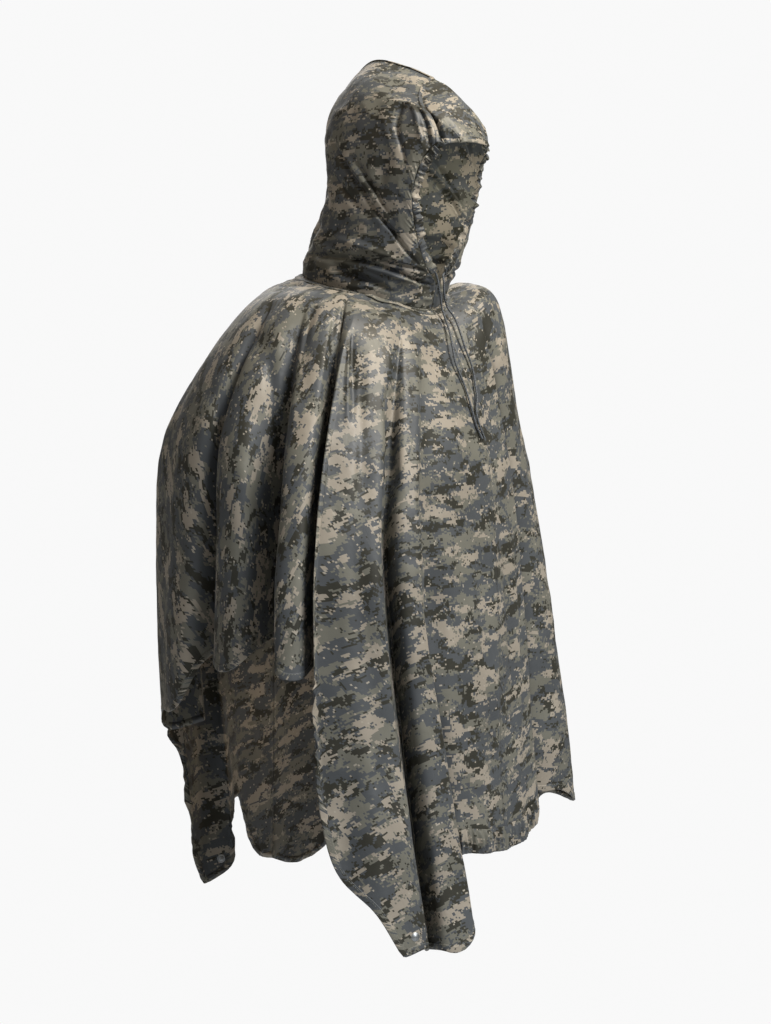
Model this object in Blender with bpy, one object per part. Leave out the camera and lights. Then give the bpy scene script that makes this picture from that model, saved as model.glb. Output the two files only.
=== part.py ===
"""Hooded rain poncho, worn and filled out, with nobody inside.

Units are metres. +Z is up, the front faces -Y and the wearer's right side is -X.
The origin is the middle of the neck base, where the shoulders hold the garment.

The body is one rectangle of thin coated cloth with a hood sewn in its middle. It hangs from the
neck seam over the shoulders. Fold lines run down it from the neck seam to the edge, each one on the
line that the cloth takes there, and the panels are drawn between neighbouring fold lines.
"""

import math
from collections import namedtuple

import bpy
import numpy as np
from mathutils import Vector

# Cut of the flat cloth
CUT_HALF_WIDTH = 0.7875  # neck centre to a side edge, 62 inches across in all
CUT_FRONT = 0.980  # neck centre to the front hem
CUT_BACK = 1.103  # neck centre to the back hem, 82 inches front to back in all

# Cloth and seams
WALL = 0.0015
MOST_MITRE = 3.5  # at a sharp fold the inner face lies at most this many walls in
SEAM_GAP = 0.0003
BAND_HEIGHT = 0.038
BAND_GATHERS = 16
BAND_STEPS = 3  # columns to a gather
BAND_GATHER_DEPTH = 0.0030

# Levels at which every fold line has a point
MID_Z = -0.40
YOKE_FOLD_SHARE = 0.12
ARM_FOLD_SHARE = 0.48
ARM_TURN_SHARE = 0.85
YOKE_TURN_SHARE = 0.40
TUCK_SHARES = (0.0, 0.0, 0.35, 0.75, 1.0)  # depth of a tuck at the five levels, of that at the edge
TUCK_LIP = 0.0045
TUCK_RISE = 0.012
TUCK_REACH = 1.0

# Grid of the body: rows down each fold line, and the widest step between columns at the hem
BODY_ROWS = 16
COLUMN_STEP = 0.050
MOST_STEPS = 3

# Form that the shoulders and arms give the cloth, by direction from the neck. The turn is in
# degrees from straight ahead towards the wearer's right. Each pair is a distance out and a height.
Section = namedtuple("Section", "turn neck neck_z yoke yoke_z arm arm_z waist")
SECTIONS = [
    Section(0, 0.118, -0.034, 0.152, -0.092, 0.204, -0.225, 0.222),
    Section(35, 0.112, -0.025, 0.176, -0.065, 0.248, -0.225, 0.285),
    Section(60, 0.107, -0.012, 0.196, -0.038, 0.292, -0.218, 0.335),
    Section(90, 0.105, 0.000, 0.210, -0.022, 0.322, -0.215, 0.342),
    Section(120, 0.108, 0.014, 0.195, -0.018, 0.333, -0.215, 0.350),
    Section(145, 0.113, 0.024, 0.175, -0.011, 0.287, -0.215, 0.318),
    Section(180, 0.118, 0.030, 0.165, -0.012, 0.222, -0.210, 0.232),
    Section(215, 0.113, 0.022, 0.185, -0.012, 0.262, -0.215, 0.280),
    Section(240, 0.108, 0.015, 0.205, -0.008, 0.292, -0.215, 0.310),
    Section(270, 0.105, 0.010, 0.216, 0.000, 0.282, -0.215, 0.308),
    Section(300, 0.107, 0.006, 0.201, 0.004, 0.250, -0.220, 0.280),
    Section(325, 0.112, -0.012, 0.181, -0.017, 0.222, -0.225, 0.248),
]

# Fold lines, from the front seam round to the back seam. cut is the direction of the line on the
# flat cloth in degrees from straight ahead. side and fore are distances out to that half's own side
# and to the front, at the middle level and at the edge of the cloth. tuck is how deep the cloth folds
# in behind the line at the edge. The corners of the rectangle lie at the two corner directions.
FRONT_CORNER_CUT = math.degrees(math.atan2(CUT_HALF_WIDTH, CUT_FRONT))
BACK_CORNER_CUT = 180.0 - math.degrees(math.atan2(CUT_HALF_WIDTH, CUT_BACK))
Fold = namedtuple("Fold", "cut mid_side mid_fore hem_side hem_fore hem_z tuck")
FRONT_SEAM = Fold(0, -0.028, 0.222, -0.035, 0.238, -0.874, 0)
BACK_SEAM = Fold(180, -0.012, -0.230, -0.012, -0.227, -0.962, 0)
RIGHT_FOLDS = [
    Fold(8, 0.030, 0.225, 0.020, 0.243, -0.867, 0),
    Fold(13, 0.095, 0.230, 0.088, 0.238, -0.858, 0),
    Fold(17, 0.150, 0.218, 0.105, 0.175, -0.895, 0),
    Fold(22, 0.186, 0.243, 0.122, 0.298, -0.953, 0),
    Fold(25, 0.198, 0.238, 0.154, 0.297, -0.983, 0),
    Fold(30, 0.212, 0.226, 0.205, 0.272, -0.978, 0.085),
    Fold(36, 0.245, 0.226, 0.232, 0.288, -0.962, 0),
    Fold(38.8, 0.275, 0.206, 0.252, 0.280, -0.966, 0),
    Fold(42, 0.292, 0.194, 0.288, 0.256, -0.908, 0),
    Fold(46, 0.305, 0.180, 0.322, 0.212, -0.855, 0),
    Fold(50, 0.318, 0.167, 0.336, 0.186, -0.740, 0),
    Fold(53, 0.324, 0.161, 0.342, 0.177, -0.610, 0),
    Fold(61, 0.332, 0.150, 0.346, 0.160, -0.570, 0.125),
    Fold(70, 0.350, 0.117, 0.372, 0.134, -0.565, 0),
    Fold(77.5, 0.316, 0.064, 0.326, 0.074, -0.535, 0.100),
    Fold(85, 0.346, 0.024, 0.356, 0.022, -0.570, 0),
    Fold(92, 0.324, -0.042, 0.318, -0.055, -0.560, 0.090),
    Fold(99, 0.335, -0.089, 0.346, -0.101, -0.640, 0),
    Fold(107, 0.291, -0.195, 0.302, -0.175, -0.655, 0),
    Fold(115.5, 0.250, -0.224, 0.282, -0.186, -0.692, 0.120),
    Fold(124, 0.222, -0.243, 0.257, -0.182, -0.733, 0),
    Fold(130, 0.198, -0.248, 0.264, -0.150, -0.840, 0),
    Fold(136.5, 0.178, -0.238, 0.246, -0.157, -0.885, 0.050),
    Fold(144.5, 0.158, -0.252, 0.228, -0.146, -0.936, 0),
    Fold(150, 0.135, -0.248, 0.192, -0.126, -0.918, 0),
    Fold(154, 0.122, -0.242, 0.184, -0.142, -0.852, 0),
    Fold(159, 0.100, -0.235, 0.095, -0.212, -0.835, 0),
    Fold(166, 0.065, -0.232, 0.058, -0.222, -0.915, 0),
    Fold(173, 0.025, -0.230, 0.028, -0.225, -0.952, 0),
]
LEFT_FOLDS = [
    Fold(8, 0.090, 0.204, 0.090, 0.229, -0.872, 0),
    Fold(13, 0.118, 0.196, 0.150, 0.214, -0.852, 0),
    Fold(20, 0.136, 0.188, 0.176, 0.198, -0.815, 0.085),
    Fold(26.5, 0.182, 0.190, 0.222, 0.215, -0.812, 0),
    Fold(31, 0.243, 0.159, 0.286, 0.205, -0.843, 0),
    Fold(35, 0.278, 0.115, 0.313, 0.120, -0.842, 0),
    Fold(38.8, 0.285, 0.085, 0.330, 0.045, -0.935, 0),
    Fold(44, 0.298, 0.055, 0.342, 0.005, -0.800, 0),
    Fold(50, 0.306, 0.035, 0.340, -0.010, -0.680, 0),
    Fold(53, 0.310, 0.025, 0.338, -0.020, -0.600, 0),
    Fold(61, 0.308, 0.008, 0.330, -0.030, -0.570, 0.120),
    Fold(70, 0.325, -0.020, 0.350, -0.055, -0.580, 0),
    Fold(77, 0.300, -0.060, 0.308, -0.090, -0.545, 0.100),
    Fold(84.5, 0.325, -0.095, 0.342, -0.120, -0.585, 0),
    Fold(91, 0.295, -0.128, 0.300, -0.148, -0.560, 0.100),
    Fold(99, 0.298, -0.165, 0.320, -0.190, -0.620, 0),
    Fold(107, 0.258, -0.198, 0.280, -0.230, -0.640, 0),
    Fold(115.5, 0.225, -0.208, 0.230, -0.225, -0.700, 0.110),
    Fold(124, 0.205, -0.228, 0.235, -0.262, -0.780, 0),
    Fold(130, 0.185, -0.238, 0.225, -0.275, -0.850, 0),
    Fold(136.5, 0.168, -0.232, 0.203, -0.262, -0.910, 0.060),
    Fold(144.5, 0.148, -0.245, 0.185, -0.270, -0.955, 0),
    Fold(153, 0.125, -0.232, 0.140, -0.210, -0.945, 0),
    Fold(164, 0.090, -0.235, 0.090, -0.228, -0.975, 0),
    Fold(172, 0.045, -0.235, 0.040, -0.230, -0.973, 0),
]
FRONT_BAND_ENDS = (2, 2)  # fold lines right and left of the front seam where the elastic ends
BACK_BAND_ENDS = (1, 2)

# Ribs of one hood half, from the neck seam up and forward over the crown to the visor's edge: a
# point on the face edge, the widest point at the side and a point on the centre seam.
Rib = namedtuple("Rib", "face_x face_y face_z side_x side_y side_z seam_y seam_z")
HOOD_RIBS = [
    Rib(0.0004, -0.121, -0.033, 0.107, 0.000, -0.001, 0.119, 0.030),
    Rib(0.0020, -0.128, 0.004, 0.108, -0.004, 0.025, 0.113, 0.052),
    Rib(0.030, -0.133, 0.026, 0.107, -0.010, 0.052, 0.100, 0.082),
    Rib(0.058, -0.137, 0.066, 0.105, -0.020, 0.095, 0.075, 0.125),
    Rib(0.080, -0.143, 0.128, 0.102, -0.028, 0.155, 0.063, 0.178),
    Rib(0.080, -0.154, 0.170, 0.100, -0.036, 0.212, 0.069, 0.232),
    Rib(0.073, -0.164, 0.194, 0.093, -0.055, 0.262, 0.059, 0.299),
    Rib(0.068, -0.171, 0.204, 0.081, -0.100, 0.278, 0.003, 0.356),
    Rib(0.066, -0.177, 0.209, 0.071, -0.140, 0.269, -0.071, 0.343),
]
VISOR_RIBS = [
    Rib(0.063, -0.180, 0.2110, 0.063, -0.161, 0.257, -0.121, 0.324),
    Rib(0.060, -0.183, 0.2115, 0.054, -0.181, 0.247, -0.170, 0.294),
    Rib(0.056, -0.186, 0.2120, 0.042, -0.196, 0.229, -0.194, 0.253),
    Rib(0.053, -0.188, 0.2120, 0.033, -0.203, 0.2125, -0.208, 0.213),
]
HOOD_STEPS = 15
HOOD_RISE = 18
VISOR_RISE = 5

# Drawcord: a gathered casing round the face and two free ends on the chest
CASING_WIDTH = 0.015
CASING_DEPTH = 0.0055
CASING_GATHERS = 11
CASING_GATHER_DEPTH = 0.0018
CASING_CLEAR = 0.0009
CASING_START = 0.21  # share of the face edge below the casing, where the two fronts of the hood meet
CORD_DIAMETER = 0.0032
CORD_STEP = 0.0092
CORD_RIGHT = [
    (-0.0124, -0.1345, 0.0226), (-0.0088, -0.1338, 0.0200), (-0.0065, -0.1362, 0.0100),
    (-0.0030, -0.1355, -0.0020),
    (0.0025, -0.1345, -0.0155), (0.0085, -0.1325, -0.0330), (0.0098, -0.1378, -0.0485),
    (0.0034, -0.1510, -0.0680), (-0.0055, -0.1645, -0.0940), (-0.0081, -0.1722, -0.1180),
    (-0.0035, -0.1795, -0.1390), (-0.0004, -0.1850, -0.1555), (-0.0014, -0.1934, -0.1743),
    (-0.0006, -0.2002, -0.1948), (0.0029, -0.2050, -0.2154), (0.0113, -0.2095, -0.2339),
]
CORD_LEFT = [
    (0.0124, -0.1345, 0.0226), (0.0088, -0.1338, 0.0200), (0.0080, -0.1362, 0.0100),
    (0.0090, -0.1360, -0.0020),
    (0.0120, -0.1350, -0.0150), (0.0190, -0.1355, -0.0320), (0.0228, -0.1455, -0.0460),
    (0.0226, -0.1590, -0.0740), (0.0250, -0.1665, -0.0970), (0.0288, -0.1725, -0.1144),
    (0.0299, -0.1778, -0.1317), (0.0262, -0.1845, -0.1524), (0.0211, -0.1920, -0.1712),
    (0.0086, -0.1997, -0.1923), (0.0108, -0.2050, -0.2150), (0.0172, -0.2092, -0.2330),
]

# Snaps
SNAP_RADIUS = 0.0064
SNAP_HEIGHT = 0.0018
SNAP_RISE = 0.026  # above the hem at a corner
SNAP_SIDES = 20
SNAP_CLEAR = 0.0006

# Finishes: colour in linear RGB, roughness, metallic
CLOTH = ((0.125, 0.112, 0.086), 0.46, 0.0)
CORD = ((0.030, 0.031, 0.032), 0.80, 0.0)
METAL = ((0.36, 0.37, 0.38), 0.35, 1.0)


def clear_scene():
    for obj in list(bpy.data.objects):
        bpy.data.objects.remove(obj, do_unlink=True)


def finish(name, look):
    colour, roughness, metallic = look
    material = bpy.data.materials.new(name)
    material.use_nodes = True
    shader = material.node_tree.nodes["Principled BSDF"]
    shader.inputs["Base Color"].default_value = (*colour, 1.0)
    shader.inputs["Roughness"].default_value = roughness
    shader.inputs["Metallic"].default_value = metallic
    return material


def add_mesh(name, points, faces, look):
    mesh = bpy.data.meshes.new(name)
    mesh.from_pydata([tuple(point) for point in points], [], faces)
    mesh.shade_smooth()
    mesh.set_sharp_from_angle(angle=math.radians(60))
    mesh.materials.append(finish(name, look))
    obj = bpy.data.objects.new(name, mesh)
    bpy.context.scene.collection.objects.link(obj)
    return obj


def between(p0, p1, p2, p3, share):
    """A point at this share of the way from p1 to p2, on the smooth curve through all four."""
    gaps = [np.sqrt(np.linalg.norm(b - a, axis=-1, keepdims=True) + 1e-9)
            for a, b in ((p0, p1), (p1, p2), (p2, p3))]
    t1 = gaps[0]
    t2 = t1 + gaps[1]
    t3 = t2 + gaps[2]
    t = t1 + (t2 - t1) * share
    a1 = p0 + (p1 - p0) * t / t1
    a2 = p1 + (p2 - p1) * (t - t1) / (t2 - t1)
    a3 = p2 + (p3 - p2) * (t - t2) / (t3 - t2)
    b1 = a1 + (a2 - a1) * t / t2
    b2 = a2 + (a3 - a2) * (t - t1) / (t3 - t1)
    return b1 + (b2 - b1) * (t - t1) / (t2 - t1)


def along(points, shares):
    """Points at these shares of the length of a smooth open curve through the given points."""
    points = np.asarray(points, float)
    ends = np.vstack([2 * points[0] - points[1], points, 2 * points[-1] - points[-2]])
    steps = np.linalg.norm(np.diff(points, axis=0), axis=1)
    marks = np.concatenate([[0.0], np.cumsum(steps)]) / steps.sum()
    made = []
    for share in shares:
        k = min(int(np.searchsorted(marks, share, side="right")) - 1, len(points) - 2)
        local = (share - marks[k]) / (marks[k + 1] - marks[k])
        made.append(between(*ends[k:k + 4], local))
    return np.array(made)


def spread(values, marks, shares):
    """Rows of values known at the marks, read off straight between them at the shares."""
    return np.stack([np.interp(shares, marks, values[:, axis]) for axis in range(3)], axis=1)


def square_to(values, ahead):
    """Unit vectors nearest to the given ones that stand square to the directions ahead."""
    flat = values - ahead * np.sum(values * ahead, axis=1, keepdims=True)
    return flat / np.linalg.norm(flat, axis=1, keepdims=True)


def section_at(turn):
    """The shoulder form in one direction, smoothly between the rows of the table."""
    turn = turn % 360.0
    count = len(SECTIONS)
    rows = [np.array(section) for section in SECTIONS]
    k = max(i for i in range(count) if SECTIONS[i].turn <= turn)
    after = SECTIONS[k + 1].turn if k + 1 < count else 360.0
    share = (turn - SECTIONS[k].turn) / (after - SECTIONS[k].turn)
    values = [rows[(k + i) % count][1:] for i in (-1, 0, 1, 2)]
    # Every column turns smoothly through its four nearest rows
    slope_a = (values[2] - values[0]) / 2
    slope_b = (values[3] - values[1]) / 2
    s2 = share * share
    s3 = s2 * share
    mixed = ((2 * s3 - 3 * s2 + 1) * values[1] + (s3 - 2 * s2 + share) * slope_a
             + (3 * s2 - 2 * s3) * values[2] + (s3 - s2) * slope_b)
    return Section(turn, *mixed)


def out_from_neck(turn, reach, height):
    angle = math.radians(turn)
    return np.array([-reach * math.sin(angle), -reach * math.cos(angle), height])


def turn_of(point):
    return math.degrees(math.atan2(-point[0], -point[1]))


def nearest_turn(turn, other):
    """The same direction as turn, written within half a round of other."""
    return other + (turn - other + 180.0) % 360.0 - 180.0


def fold_line(fold, hand):
    """Five points down one fold line. hand is 1 on the wearer's right and -1 on the left."""
    mid = np.array([-hand * fold.mid_side, -fold.mid_fore, MID_Z])
    hem = np.array([-hand * fold.hem_side, -fold.hem_fore, fold.hem_z])
    cut_turn = hand * fold.cut
    mid_turn = nearest_turn(turn_of(mid), cut_turn)
    depth = math.hypot(mid[0], mid[1]) - section_at(mid_turn).waist
    yoke_turn = cut_turn + (mid_turn - cut_turn) * YOKE_TURN_SHARE
    arm_turn = cut_turn + (mid_turn - cut_turn) * ARM_TURN_SHARE
    neck = section_at(cut_turn)
    yoke = section_at(yoke_turn)
    arm = section_at(arm_turn)
    return np.array([
        out_from_neck(cut_turn, neck.neck, neck.neck_z),
        out_from_neck(yoke_turn, yoke.yoke + depth * YOKE_FOLD_SHARE, yoke.yoke_z),
        out_from_neck(arm_turn, arm.arm + depth * ARM_FOLD_SHARE, arm.arm_z),
        mid,
        hem,
    ])


def tucked_lines(fold, hand):
    """Three lines where the cloth folds in behind a line: a lip, the bottom of the tuck, a lip."""
    spread = math.degrees(fold.tuck / TUCK_REACH)
    line = fold_line(fold, hand)
    made = []
    for place in (-1, 0, 1):
        turned = fold_line(fold._replace(cut=fold.cut + place * spread), hand)
        turned[2:] = line[2:]
        for level, share in enumerate(TUCK_SHARES):
            away = turned[level] * np.array([1.0, 1.0, 0.0])
            away /= np.linalg.norm(away)
            round_ = hand * np.array([away[1], -away[0], 0.0])
            if level > 1:
                turned[level] += round_ * place * TUCK_LIP
            if place == 0:
                turned[level] -= away * fold.tuck * share
        if place == 0:
            turned[-1, 2] += TUCK_RISE
        made.append((turned, place == 0))
    return made


def half_lines(folds, hand):
    """Every line of one half, and whether it is the bottom of a tuck."""
    made = []
    for fold in folds:
        made += tucked_lines(fold, hand) if fold.tuck else [(fold_line(fold, hand), False)]
    return made


def body_lines():
    """All fold lines in order: front seam, right side, back seam, left side back to the front."""
    right = [(fold_line(FRONT_SEAM, 1), False)] + half_lines(RIGHT_FOLDS, 1)
    left = [(fold_line(BACK_SEAM, 1), False)] + half_lines(LEFT_FOLDS, -1)[::-1]
    return right, left


def body_grid():
    """The body's outer face as grid[column][row], the column at which each fold line stands, and
    the number of the back seam's line."""
    shares = np.linspace(0.0, 1.0, BODY_ROWS)
    right, left = body_lines()
    lines = np.array([along(line, shares) for line, _ in right + left])
    bottom = [low for _, low in right + left]
    count = len(lines)
    columns = []
    stands = []
    for k in range(count):
        stands.append(len(columns))
        four = [lines[(k + i) % count] for i in (-1, 0, 1, 2)]
        width = np.linalg.norm(four[2][-1] - four[1][-1])
        steps = min(MOST_STEPS, max(1, round(width / COLUMN_STEP)))
        if bottom[k] or bottom[(k + 1) % count]:
            # The sides of a tuck are straight, so that they stay apart
            columns += [four[1] + (four[2] - four[1]) * step / steps for step in range(steps)]
        else:
            columns += [between(*four, step / steps) for step in range(steps)]
    return np.array(columns), stands, len(right)


def grid_normals(grid, closed=False):
    """Outward unit normals of a grid whose columns run round the wearer's right and rows run down."""
    if closed:
        # Halfway between the two directions that meet at a point, however sharp the fold there
        wide = np.concatenate([grid[-1:], grid, grid[:1]])
        steps = np.diff(wide, axis=0)
        steps /= np.linalg.norm(steps, axis=2, keepdims=True)
        across = steps[1:] + steps[:-1]
    else:
        across = np.gradient(grid, axis=0)
    down = np.gradient(grid, axis=1)
    normal = np.cross(across, down)
    return normal / np.linalg.norm(normal, axis=2, keepdims=True)


def mitres(grid):
    """How much further the inner face lies at each point of the closed body, so that the wall keeps
    its thickness where the cloth folds back on itself."""
    wide = np.concatenate([grid[-1:], grid, grid[:1]])
    steps = np.diff(wide, axis=0)
    steps /= np.linalg.norm(steps, axis=2, keepdims=True)
    cosine = np.linalg.norm(steps[1:] + steps[:-1], axis=2, keepdims=True) / 2
    return 1.0 / np.maximum(cosine, 1.0 / MOST_MITRE)


def cloth_wall(name, grid, normals, look, wall=WALL):
    """A closed wall of cloth: the grid is its outer face, and its inner face is wall further in."""
    wide, deep = grid.shape[:2]
    outer = grid.reshape(-1, 3)
    inner = (grid - normals * wall).reshape(-1, 3)
    points = np.vstack([outer, inner])
    below = wide * deep

    def spot(i, j):
        return i * deep + j

    # Both faces of the wall are split along the same diagonal, so that they can't meet where the
    # cloth twists
    faces = []
    for i in range(wide - 1):
        for j in range(deep - 1):
            a, b, c, d = spot(i, j), spot(i + 1, j), spot(i + 1, j + 1), spot(i, j + 1)
            if np.linalg.norm(outer[a] - outer[c]) <= np.linalg.norm(outer[b] - outer[d]):
                halves = ((a, b, c), (a, c, d))
            else:
                halves = ((a, b, d), (b, c, d))
            faces += halves
            faces += [tuple(below + k for k in reversed(half)) for half in halves]
    rim = [spot(i, 0) for i in range(wide)]
    rim += [spot(wide - 1, j) for j in range(1, deep)]
    rim += [spot(i, deep - 1) for i in range(wide - 2, -1, -1)]
    rim += [spot(0, j) for j in range(deep - 2, 0, -1)]
    for a, b in zip(rim, rim[1:] + rim[:1]):
        faces.append((b, a, below + a, below + b))
    return add_mesh(name, points, faces, look)


def trim_side(grid, side, gap):
    """The grid with one border moved in by gap along its own columns."""
    grid = grid.copy()
    edge, inner = (0, 1) if side == "first" else (-1, -2)
    way = grid[inner] - grid[edge]
    grid[edge] += way / np.linalg.norm(way, axis=1, keepdims=True) * gap
    return grid


def trim_end(grid, row, gap):
    """The grid with its first or last row moved in by gap along its rows."""
    grid = grid.copy()
    edge, inner = (0, 1) if row == "first" else (-1, -2)
    way = grid[:, inner] - grid[:, edge]
    grid[:, edge] += way / np.linalg.norm(way, axis=1, keepdims=True) * gap
    return grid


def body_panels(grid, normals, back):
    halves = {
        "body_right": list(range(0, back + 1)),
        "body_left": list(range(back, len(grid))) + [0],
    }
    for name, picked in halves.items():
        half = trim_side(grid[picked], "first", SEAM_GAP / 2)
        half = trim_side(half, "last", SEAM_GAP / 2)
        half = trim_end(half, "first", SEAM_GAP / 2)
        cloth_wall(name, half, normals[picked], CLOTH)


def hem_band(name, grid, normals, first, last):
    """The elastic hem: turned up on the panel's lower edge and drawn into gathers."""
    count = len(grid)
    picked = [k % count for k in range(first, last + 1)]
    shares = np.linspace(0.0, 1.0, BAND_GATHERS * BAND_STEPS + 1)
    marks = np.linspace(0.0, 1.0, len(picked))
    out = spread(normals[picked, -1], marks, shares)
    wave = 0.5 - 0.5 * np.cos(shares * BAND_GATHERS * 2 * math.pi)
    rows = []
    for rise in (1.0, 0.7, 0.3, 0.0):
        line = []
        for k in picked:
            column = grid[k]
            length = np.linalg.norm(column[-1] - column[-2])
            line.append(column[-1] + (column[-2] - column[-1]) * rise * BAND_HEIGHT / length)
        arch = math.sin(rise * math.pi)
        swing = BAND_GATHER_DEPTH * (0.3 + 0.7 * arch) * wave
        rows.append(along(line, shares) + out * (SEAM_GAP + WALL + 0.001 * arch + swing)[:, None])
    band = np.stack(rows, axis=1)
    cloth_wall(name, band, grid_normals(band), CLOTH)


def quarter_turns(rib, steps):
    """One rib from the face edge round the side to the centre seam, on the wearer's left."""
    face = np.array([rib.face_x, rib.face_y, rib.face_z])
    side = np.array([rib.side_x, rib.side_y, rib.side_z])
    seam = np.array([0.0, rib.seam_y, rib.seam_z])
    made = []
    for step in range(steps + 1):
        share = step / steps * 2
        if share <= 1:
            a = share * math.pi / 2
            mix_x = math.sin(a)
            mix_y = 1 - math.cos(a)
            start, end = face, side
        else:
            a = (share - 1) * math.pi / 2
            mix_x = 1 - math.cos(a)
            mix_y = math.sin(a)
            start, end = side, seam
        x = start[0] + (end[0] - start[0]) * mix_x
        y = start[1] + (end[1] - start[1]) * mix_y
        z = start[2] + (end[2] - start[2]) * (mix_x + mix_y) / 2
        made.append((x, y, z))
    return np.array(made)


def on_neck_ring(points):
    """The same points moved onto the neck seam of the body, each in its own direction."""
    made = []
    for point in points:
        turn = turn_of(point)
        ring = section_at(turn)
        made.append(out_from_neck(turn, ring.neck, ring.neck_z))
    return np.array(made)


def hood_grid(ribs, rise, hand=-1):
    """One half of the hood as grid[step along the rib][rise over the ribs]. hand is 1 on the
    wearer's right and -1 on the left."""
    lines = np.array([quarter_turns(rib, HOOD_STEPS) for rib in ribs])
    lines = lines * np.array([-hand, 1.0, 1.0])
    if ribs[0] is HOOD_RIBS[0]:
        lines[0] = on_neck_ring(lines[0])
    shares = np.linspace(0.0, 1.0, rise + 1)
    grid = np.array([along(lines[:, step], shares) for step in range(HOOD_STEPS + 1)])
    # The two fronts meet below the chin and don't cross
    grid[0, :, 0] = -hand * np.maximum(-hand * grid[0, :, 0], SEAM_GAP)
    return grid


def mirrored(grid):
    return grid * np.array([-1.0, 1.0, 1.0])


def visor_seam_normals(hand):
    """Outward normals along the seam that the hood half shares with the visor."""
    hood = hood_grid(HOOD_RIBS + VISOR_RIBS[:1], HOOD_RISE, hand)
    front = hood_grid(VISOR_RIBS, VISOR_RISE, hand)
    band = np.stack([front[:, 1], hood[:, -1], hood[:, -2]], axis=1)
    return grid_normals(band[::hand])[:, 1]


def face_middle(normals):
    """The same normals turned into the centre plane."""
    flat = normals * np.array([0.0, 1.0, 1.0])
    return flat / np.linalg.norm(flat, axis=-1, keepdims=True)


def hood_panels():
    for name, hand in (("hood_left", -1), ("hood_right", 1)):
        every = hood_grid(HOOD_RIBS + VISOR_RIBS[:1], HOOD_RISE, hand)
        half = trim_side(every, "last", SEAM_GAP / 2)
        half = trim_end(half, "first", SEAM_GAP / 2)
        half = trim_end(half, "last", SEAM_GAP / 2)[::hand, ::-1]
        normals = grid_normals(half)
        normals[:, 0] = visor_seam_normals(hand)
        seam = -1 if hand == 1 else 0
        normals[seam] = face_middle(normals[seam])
        cloth_wall(name, half, normals, CLOTH)


def visor():
    half = hood_grid(VISOR_RIBS, VISOR_RISE)
    half = trim_end(half, "first", SEAM_GAP / 2)
    whole = np.concatenate([half, mirrored(half)[-2::-1]])[::-1, ::-1]
    normals = grid_normals(whole)
    left = visor_seam_normals(-1)
    left[0] = face_middle(left[0])
    normals[:, -1] = np.concatenate([mirrored(left)[:0:-1], left])
    cloth_wall("hood_visor", whole, normals, CLOTH)


def casing(name, edge, inward, out):
    """A gathered tube along one side of the face opening."""
    count = CASING_GATHERS * 3
    shares = np.linspace(0.0, 1.0, count + 1)
    centre = along(edge, shares)
    marks = np.linspace(0.0, 1.0, len(edge))

    ahead = np.gradient(centre, axis=0)
    ahead /= np.linalg.norm(ahead, axis=1, keepdims=True)
    inward = square_to(spread(inward, marks, shares), ahead)
    out = square_to(spread(out, marks, shares), ahead)
    points = []
    sides = 8
    for k in range(count + 1):
        full = 1.0 + CASING_GATHER_DEPTH / CASING_DEPTH * math.cos(2 * math.pi * k / 3)
        middle = centre[k] - out[k] * WALL / 2 + inward[k] * (CASING_WIDTH / 2 + CASING_CLEAR)
        for side in range(sides):
            angle = 2 * math.pi * side / sides
            points.append(middle + inward[k] * math.cos(angle) * CASING_WIDTH / 2
                          + out[k] * math.sin(angle) * CASING_DEPTH / 2 * full)
    faces = []
    for k in range(count):
        for side in range(sides):
            after = (side + 1) % sides
            faces.append((k * sides + side, k * sides + after,
                          (k + 1) * sides + after, (k + 1) * sides + side))
    faces.append(tuple(range(sides))[::-1])
    faces.append(tuple(count * sides + side for side in range(sides)))
    return add_mesh(name, points, faces, CLOTH)


def face_casings():
    """Both casings, from the chin up to the visor, on the edge of each hood half."""
    grid = hood_grid(HOOD_RIBS + VISOR_RIBS[:1], HOOD_RISE)
    normals = grid_normals(grid)
    shares = np.linspace(CASING_START, 0.985, 24)
    edge = along(grid[0], shares)
    marks = np.linspace(0.0, 1.0, HOOD_RISE + 1)

    inward = spread(grid[0] - grid[1], marks, shares)
    out = spread(normals[0], marks, shares)
    casing("casing_left", edge, inward, out)
    flip = np.array([-1.0, 1.0, 1.0])
    casing("casing_right", (edge * flip)[::-1], (inward * flip)[::-1], (out * flip)[::-1])


def cord_end(name, route):
    """One free end of the drawcord as a round tube."""
    length = np.linalg.norm(np.diff(np.array(route), axis=0), axis=1).sum()
    points = along(route, np.linspace(0.0, 1.0, round(length / CORD_STEP) + 1))
    curve = bpy.data.curves.new(name, "CURVE")
    curve.dimensions = "3D"
    curve.bevel_depth = CORD_DIAMETER / 2
    curve.bevel_resolution = 2
    curve.use_fill_caps = True
    spline = curve.splines.new("POLY")
    spline.points.add(len(points) - 1)
    for spot, point in zip(spline.points, points):
        spot.co = (*point, 1.0)
    curve.materials.append(finish(name, CORD))
    obj = bpy.data.objects.new(name, curve)
    bpy.context.scene.collection.objects.link(obj)


def snap(name, grid, columns, inside):
    """A round snap cap lying flat on the cloth between two columns, just above the hem."""
    spots = []
    for column in columns:
        line = grid[column]
        way = line[-2] - line[-1]
        spots.append((line[-1] + way / np.linalg.norm(way) * SNAP_RISE, way))
    point = (spots[0][0] + spots[1][0]) / 2
    away = np.cross(spots[1][0] - spots[0][0], -spots[0][1] - spots[1][1])
    away /= np.linalg.norm(away)
    if inside:
        away = -away
    bpy.ops.mesh.primitive_cylinder_add(
        vertices=SNAP_SIDES, radius=SNAP_RADIUS, depth=SNAP_HEIGHT, end_fill_type="NGON")
    obj = bpy.context.object
    obj.name = name
    obj.data.name = name
    obj.location = Vector(point + away * (SNAP_HEIGHT / 2 + SNAP_CLEAR))
    obj.rotation_mode = "QUATERNION"
    obj.rotation_quaternion = Vector(away).to_track_quat("Z", "Y")
    obj.data.materials.append(finish(name, METAL))


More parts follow.
